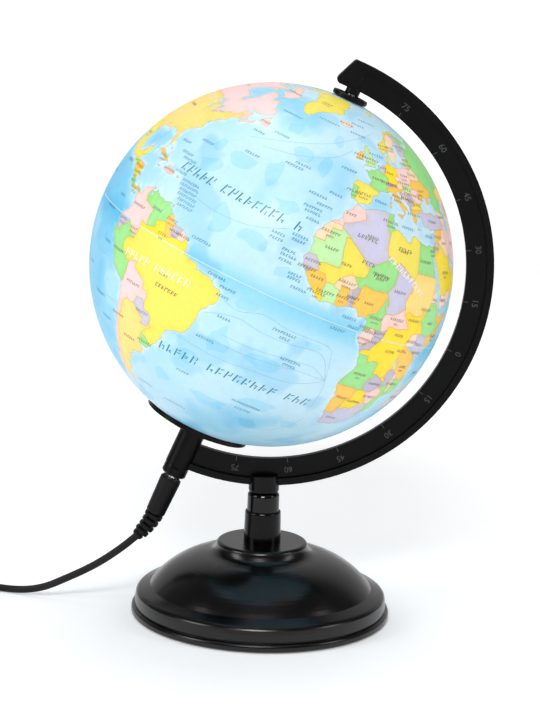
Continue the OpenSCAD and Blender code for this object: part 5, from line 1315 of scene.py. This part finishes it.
def shore_ribbons(flat, ink, beside, walls, side):
    """Printed outlines wherever two inks meet, as shores and as borders."""
    strokes = {"shore": [], "border": []}
    for edge, near in beside.items():
        if len(near) < 2 or edge not in walls:
            continue
        first, second = (ink[i] for i in near[:2])
        if not is_printed_edge(first, second):
            continue
        kind = "shore" if first in WATERS or second in WATERS else "border"
        a, b = (on_ball(*unflattened(flat[i], side), PRINT_HEIGHT) for i in edge)
        strokes[kind].append(ribbon(a, b, OUTLINE_HALF))
    return strokes


def stroke_piece(name, quads, colour):
    """All strokes of one ink as one printed piece."""
    points = [p for quad in quads for p in quad]
    faces = [tuple(range(4 * i, 4 * i + 4)) for i in range(len(quads))]
    mesh = mesh_from(name, points, faces, closed=False)
    mesh.normals_split_custom_set_from_vertices([tuple((p - ball_mid).normalized()) for p in points])
    piece = new_object(name, mesh, "globe")
    dress(piece, printing(name + "_ink", colour))


def printing(name, colour):
    """Ink that is a little uneven."""
    material, tree, bsdf = shader(name, {"Roughness": 0.3, "Specular IOR Level": 0.35,
                                         "Emission Strength": GLOW})
    dark = mixed(srgb(*colour), (0, 0, 0, 1), 0.1)
    light = mixed(srgb(*colour), (1, 1, 1, 1), 0.05)
    tone = ramp_of(tree, noise_of(tree, 160), [(0.35, dark), (0.65, light)])
    tree.links.new(tone, bsdf.inputs["Base Color"])
    tree.links.new(tone, bsdf.inputs["Emission Color"])
    return material


# Tones that the sea's colour is multiplied by, by a noise: crisp steps, as on a depth map
SEA_TONES = [(0.0, (188, 228, 245)), (0.4, (222, 240, 250)), (0.43, (255, 255, 255)),
             (0.55, (248, 252, 255)), (0.58, (222, 243, 252)), (0.66, (186, 231, 249))]
SEA_TONE_SCALE = 17
SHEET_MOTTLE = [(0.3, (0.955, 0.955, 0.955, 1)), (0.7, (1, 1, 1, 1))]
MOTTLE_SCALE, GLOSS_SCALE, GRAIN_SCALE, GRAIN_DEPTH = 420, 90, 240, 0.00003
SHEET_ROUGHNESS = (0.4, 0.5)


def multiplied(tree, colour, by):
    """Multiplies two colours; returns the result and the socket that says how much."""
    node = tree.nodes.new("ShaderNodeMix")
    node.data_type = "RGBA"
    node.blend_type = "MULTIPLY"
    amount, first, second = node.inputs[0], node.inputs[6], node.inputs[7]
    tree.links.new(colour, first)
    tree.links.new(by, second)
    return node.outputs[2], amount


def map_material():
    """The printed sheet: inks and the sea's painted shade from the mesh, sea floor tones in crisp patches, a clear
    gloss.
    """
    material, tree, bsdf = shader("map_print", {"Coat Weight": 0.12, "Coat Roughness": 0.2,
                                                "Specular IOR Level": 0.35, "Emission Strength": GLOW})
    inks = tree.nodes.new("ShaderNodeAttribute")
    inks.attribute_name = "print"
    tones = [(place, srgb(*tone)) for place, tone in SEA_TONES]
    sea_tone = ramp_of(tree, noise_of(tree, SEA_TONE_SCALE, 3, 0.5), tones)
    toned, on_water = multiplied(tree, inks.outputs["Color"], sea_tone)
    tree.links.new(ranged(tree, inks.outputs["Alpha"], 1, 0, 0, 1), on_water)
    mottle = ramp_of(tree, noise_of(tree, MOTTLE_SCALE, 2), SHEET_MOTTLE)
    sheet, on_sheet = multiplied(tree, toned, mottle)
    on_sheet.default_value = 1
    tree.links.new(sheet, bsdf.inputs["Base Color"])
    tree.links.new(sheet, bsdf.inputs["Emission Color"])
    gloss = ranged(tree, noise_of(tree, GLOSS_SCALE), *SHEET_ROUGHNESS)
    tree.links.new(gloss, bsdf.inputs["Roughness"])
    tree.links.new(bump_of(tree, noise_of(tree, GRAIN_SCALE, 2), GRAIN_DEPTH), bsdf.inputs["Normal"])
    return material


MAP_PRINT = map_material()


def make_map():
    """Both half shells, with the outlines of all their shores and borders as two more pieces."""
    lines = atlas_lines()
    strokes = [make_half("ball_north_half", "globe_north", lines, 1),
               make_half("ball_south_half", "globe_south", lines, -1)]
    stroke_piece("map_shores", [q for s in strokes for q in s["shore"]], SHORE_INK)
    stroke_piece("map_borders", [q for s in strokes for q in s["border"]], BORDER_INK)


make_map()

# ---------------------------------------------------------------- lines and marks in the print

# Currents, drawn as thin lines in the sea
CURRENTS = """
-33 -7, -28 -8, -22 -6, -18 -6, -12 -7, -1 -7, 3 -8, 4 -10, 7 -18
-37 -13, -32 -11, -26 -10, -20 -11, -11 -11, -1 -10, 3 -12, 5 -15, 7 -18
-30 -17, -20 -17, -11 -16, -1 -15, 3 -16, 7 -18
-36 -20, -22 -20, -11 -19, -3 -18, 3 -18, 7 -18
7 -18, 8 -20, 9 -24, 10 -29
12 -34, 10 -41, 5 -46, -4 -48
-45 -24, -30 -25, -16 -24, -4 -23, 4 -20, 7 -18
-86 -19, -78 -21
-79 -26, -72 -26
-96 -10, -88 -14, -80 -14
-55 41, -40 46, -25 52, -12 59, 2 66
-48 40, -33 43, -20 48, -12 54
-25 20, -36 16, -48 15, -57 16
60 -14, 72 -17, 88 -18, 104 -16
"""
# Rows of marks: where each starts and ends, the height of its marks, and where its words part.
# They stand for a map's names, and no mark is a letter.
SEA_TITLES = [((-68, 22.4), (-20.8, 22), 5.0, (5, 14)), ((-49.5, -30.4), (8, -27.6), 5.0, (5, 14)),
              ((-131, 34), (-158, 26), 5.0, (5,)), ((-104, -38), (-132, -34), 5.0, (5,)),
              ((62, -29), (98, -26), 5.0, (6,)), ((176, 14), (150, 10), 5.0, (4,))]
LAND_TITLES = [((-71.5, -8.8), (-44.5, -7.6), 4.2, (5,)), ((-112, 46), (-88, 46), 4.2, (5,)),
               ((11, 24), (30, 16), 3.2, ()), ((80, 63), (118, 60), 4.6, ()),
               ((124, -27), (144, -27), 4.0, ())]
SEA_NAMES = """
-27 17.6 5, -27 16 5, -20.5 19.5 6, -20.5 18 5, -22 14.2 5, -21.5 12.8 6, -21.8 11.2 5, -17.5 8.6 5,
-17.2 7.4 5, -14.8 5.2 6, -60.5 18.6 8, -60 17.2 9, -59.5 15.8 8, -58.8 14.4 9, -58 13 8, -57.5 11.6 7,
-66.5 20 6, -67 24.5 7, -70 26 6, -49 36 6, -33 38.8 7, -30 40.4 6, -20.5 33.4 7, -20.5 29 7, -20 27.6 6,
-19 25.5 5, -17 31 6, -14.5 36 5, -47 5.5 8, -38 -1.6 7, -33.5 -3.6 6, -34 -6.2 5, -31 -12 5, -12.8 -8.4 9,
-12 -10 4, -6.8 -16 8, -6.5 -17.6 5, -34 -20.8 7, -11 -37.6 11, -11 -40.4 6, 1.5 -1.4 6, 6.2 0.8 5, 3.5 3 6,
-38 -36 5, -58.5 -51.6 7, -40 -54 9, -85 4.5 4, -89 -0.6 7, -83 -10 5, -84 -27 8, -79.5 -33.6 7, -95 -20 6,
-96 14 6, -105 8 6, -67 32.3 6, -75 29 5, -54 44 5, -45 47 6, -50 57 8, -30 62 8, -10 62 6, -10 67 5,
0 71 7, 2 56 6, -12 46 6, 4 39.5 5, 18 34.5 6, 31 34 5, 57 -21 6, 57 -8 7, 48 -9 6, 72 -7 5, 66 0 6,
63 12 8, 74 -20 7, 90 8 7, 95 -10 7, 112 -12 6, -157 19 7, -150 -17 6, -172 -14 6, -176 -22 6, 178 -17 6,
166 10 6, 145 14 6, 135 22 6, 158 52 7, -170 54 8, -140 -9 6
"""
TITLE_TEAL, NAME_TEAL, LAND_PALE = (30, 128, 152), (44, 142, 176), (255, 240, 226)
NAME_BROWN, LINE_BLUE = (112, 104, 74), (112, 176, 200)
MARK_STEM = ((0.12, 0), (0.12, 1))
MARK_PARTS = [((0.32, 0.52), (0.68, 0.52)), ((0.62, 0.0), (0.62, 0.4)), ((0.62, 0.6), (0.62, 1)),
              ((0.34, 0.82), (0.66, 0.96)), ((0.34, 0.18), (0.66, 0.04)), ((0.34, 0.3), (0.62, 0.3))]
MARK_SLANT, MARK_MIDDLE, MARK_WIDTH, MARK_SPACING = 0.28, 0.35, 0.95, 0.98
PART_SHARE = 0.7
ARC_OVER_CHORD, NARROWEST = 1.03, 0.3
MARK_R = BALL_R + PRINT_HEIGHT * 1.5
# The height of a small row's marks in millimetres, and half the width of their strokes
SEA_NAME, LAND_NAME = (1.5, 0.17 * MM), (1.5, 0.16 * MM)
TOWN_NAME, WIDE_NAME = (1.1, 0.11 * MM), (2.1, 0.22 * MM)
SEA_TITLE_HALF, LAND_TITLE_HALF = 0.38 * MM, 0.4 * MM
TOWN_SHARE, TOWN_DROP = 0.4, 1.4
WIDE_NAMES = [(-51.5, -12.6, 7), (1, 27, 6), (17.5, 27.5, 5), (3.5, 20, 4), (9.5, 17.5, 5)]
# The land south of this latitude has no name
SOUTHERN_LAND = -60
CURRENT_STEPS, CURRENT_HALF = 8, 0.08 * MM


def mark_ends(part, here, along, up, height):
    """Both ends of one stroke of a mark that stands at a place on the ball."""
    ends = []
    for x, y in part:
        across = (x - MARK_MIDDLE + MARK_SLANT * (y - 0.5)) * height * MARK_WIDTH
        point = here + along * across + up * (y - 0.5) * height
        ends.append(ball_mid + (point - ball_mid).normalized() * MARK_R)
    return ends


def row_of_marks(start, end, height, half_stroke, gaps, draw):
    """A row of upright marks along the ball, left out at the gaps, as strokes."""
    height = height * MM
    length = (on_ball(*end) - on_ball(*start)).length * ARC_OVER_CHORD
    count = max(2, round(length / (height * MARK_SPACING)))
    shift = [(b - a) / count for a, b in zip(start, end)]
    strokes = []
    for k in range(count):
        if k in gaps:
            continue
        lon, lat = (a + d * (k + 0.5) for a, d in zip(start, shift))
        here, ahead = on_ball(lon, lat), on_ball(lon + shift[0] / 4, lat + shift[1] / 4)
        along = (ahead - here).normalized()
        up = (here - ball_mid).normalized().cross(along)
        strokes.append(ribbon(*mark_ends(MARK_STEM, here, along, up, height), half_stroke))
        for part in draw.sample(MARK_PARTS, 2):
            strokes.append(ribbon(*mark_ends(part, here, along, up, height), half_stroke * PART_SHARE))
    return strokes


def small_row(lon, lat, marks, size, draw):
    """A short row that is centred on a place."""
    height, half_stroke = size
    reach = degrees(marks * height * MM / 2 / BALL_R) / max(NARROWEST, cos(radians(lat)))
    return row_of_marks((lon - reach, lat), (lon + reach, lat), height, half_stroke, (), draw)


def make_titles():
    """The rows of marks at sea and on land, and the lines of the currents."""
    draw = random.Random(MARKS_SEED)
    sea_rows, land_rows, name_rows, sea_name_rows, lines = [], [], [], [], []
    for start, end, height, gaps in SEA_TITLES:
        sea_rows += row_of_marks(start, end, height, SEA_TITLE_HALF, gaps, draw)
    for start, end, height, gaps in LAND_TITLES:
        land_rows += row_of_marks(start, end, height, LAND_TITLE_HALF, gaps, draw)
    for lon, lat, marks in polylines(SEA_NAMES)[0]:
        sea_name_rows += small_row(lon, lat, int(marks), SEA_NAME, draw)
    for text in COUNTRIES.values():
        for lon, lat in polylines(text)[0]:
            if lat < SOUTHERN_LAND:
                continue
            name_rows += small_row(lon, lat, draw.randint(4, 7), LAND_NAME, draw)
            if draw.random() < TOWN_SHARE:
                name_rows += small_row(lon, lat - TOWN_DROP, draw.randint(3, 5), TOWN_NAME, draw)
    for lon, lat, marks in WIDE_NAMES:
        name_rows += small_row(lon, lat, marks, WIDE_NAME, draw)
    for row in polylines(CURRENTS):
        line = through(row, CURRENT_STEPS)
        for a, b in zip(line, line[1:]):
            ends = [on_ball(p.x, p.y, PRINT_HEIGHT) for p in (a, b)]
            lines.append(ribbon(*ends, CURRENT_HALF))
    stroke_piece("sea_titles", sea_rows, TITLE_TEAL)
    stroke_piece("land_titles", land_rows, LAND_PALE)
    stroke_piece("sea_names", sea_name_rows, NAME_TEAL)
    stroke_piece("land_names", name_rows, NAME_BROWN)
    stroke_piece("sea_lines", lines, LINE_BLUE)


make_titles()

# ---------------------------------------------------------------- floor and light

FLOOR_HALF, FLOOR_GAP = 18, 0.0002
# How brightly the floor glows at places from the front to the back: dim just before the globe
FLOOR_GLOW = [(-3.4, 0.9), (-1.4, 0.06), (-0.9, 0.06), (3.0, 0.98)]
# How bright the surround is, from in front of the globe (0) to behind it (1)
SKY = [(0.0, 0.11), (0.3, 0.11), (0.5, 0.12), (0.64, 0.42), (1.0, 0.62)]

LIGHT_AIM = Vector((0, 0, 0.16))
# Soft boxes: a name, a place, a width, a height and a power in watts
SOFTBOXES = [("left_box", (-1.6, -0.7, 0.9), 0.6, 1.2, 12), ("right_box", (1.7, -0.5, 0.9), 0.5, 1.2, 7),
             ("front_box", (-0.15, -1.9, 1.7), 0.9, 0.4, 28), ("top_box", (0.1, 0.3, 1.9), 0.8, 0.8, 10)]


def make_floor():
    """A wide sheet of pale paper that glows a little, so that it is white all the way back."""
    half = FLOOR_HALF
    corners = [(-half, -half, 0), (half, -half, 0), (half, half, 0), (-half, half, 0)]
    mesh = mesh_from("floor", corners, [(0, 1, 2, 3)], smooth=False, closed=False)
    floor = bpy.data.objects.new("floor", mesh)
    bpy.context.scene.collection.objects.link(floor)
    floor.location.z = -FLOOR_GAP
    paper = moulded("floor_paper", srgb(242, 242, 243), srgb(247, 247, 248), (0.75, 0.9), 40, 0.0001,
                    blotch=3, **{"Specular IOR Level": 0.1, "Emission Color": (1, 1, 1, 1)})
    tree = paper.node_tree
    split = tree.nodes.new("ShaderNodeSeparateXYZ")
    tree.links.new(coordinates(tree), split.inputs["Vector"])
    place = ranged(tree, split.outputs["Y"], 0, 1, -half, half)
    stops = [((y + half) / (2 * half), (glow, glow, glow, 1)) for y, glow in FLOOR_GLOW]
    glow = ramp_of(tree, place, stops)
    tree.links.new(glow, tree.nodes["Principled BSDF"].inputs["Emission Strength"])
    dress(floor, paper)


def softbox(name, place, width, height, watts):
    """A rectangular area light that faces the globe."""
    data = bpy.data.lights.new(name, "AREA")
    data.shape = "RECTANGLE"
    data.size, data.size_y = width, height
    data.energy = watts
    light = bpy.data.objects.new(name, data)
    light.location = place
    light.rotation_euler = (LIGHT_AIM - light.location).to_track_quat("-Z", "Y").to_euler()
    bpy.context.scene.collection.objects.link(light)


def light_scene():
    """A surround that is bright behind the globe and dim in front of it, with soft boxes."""
    world = bpy.data.worlds.new("surround")
    bpy.context.scene.world = world
    world.use_nodes = True
    tree = world.node_tree
    coords = tree.nodes.new("ShaderNodeTexCoord")
    split = tree.nodes.new("ShaderNodeSeparateXYZ")
    tree.links.new(coords.outputs["Generated"], split.inputs["Vector"])
    sky = ramp_of(tree, split.outputs["Y"], [(y, (light, light, light, 1)) for y, light in SKY])
    tree.links.new(sky, tree.nodes["Background"].inputs["Color"])
    tree.nodes["Background"].inputs["Strength"].default_value = 1.0
    for box in SOFTBOXES:
        softbox(*box)


make_floor()
light_scene()
bpy.context.scene.view_settings.view_transform = "Standard"
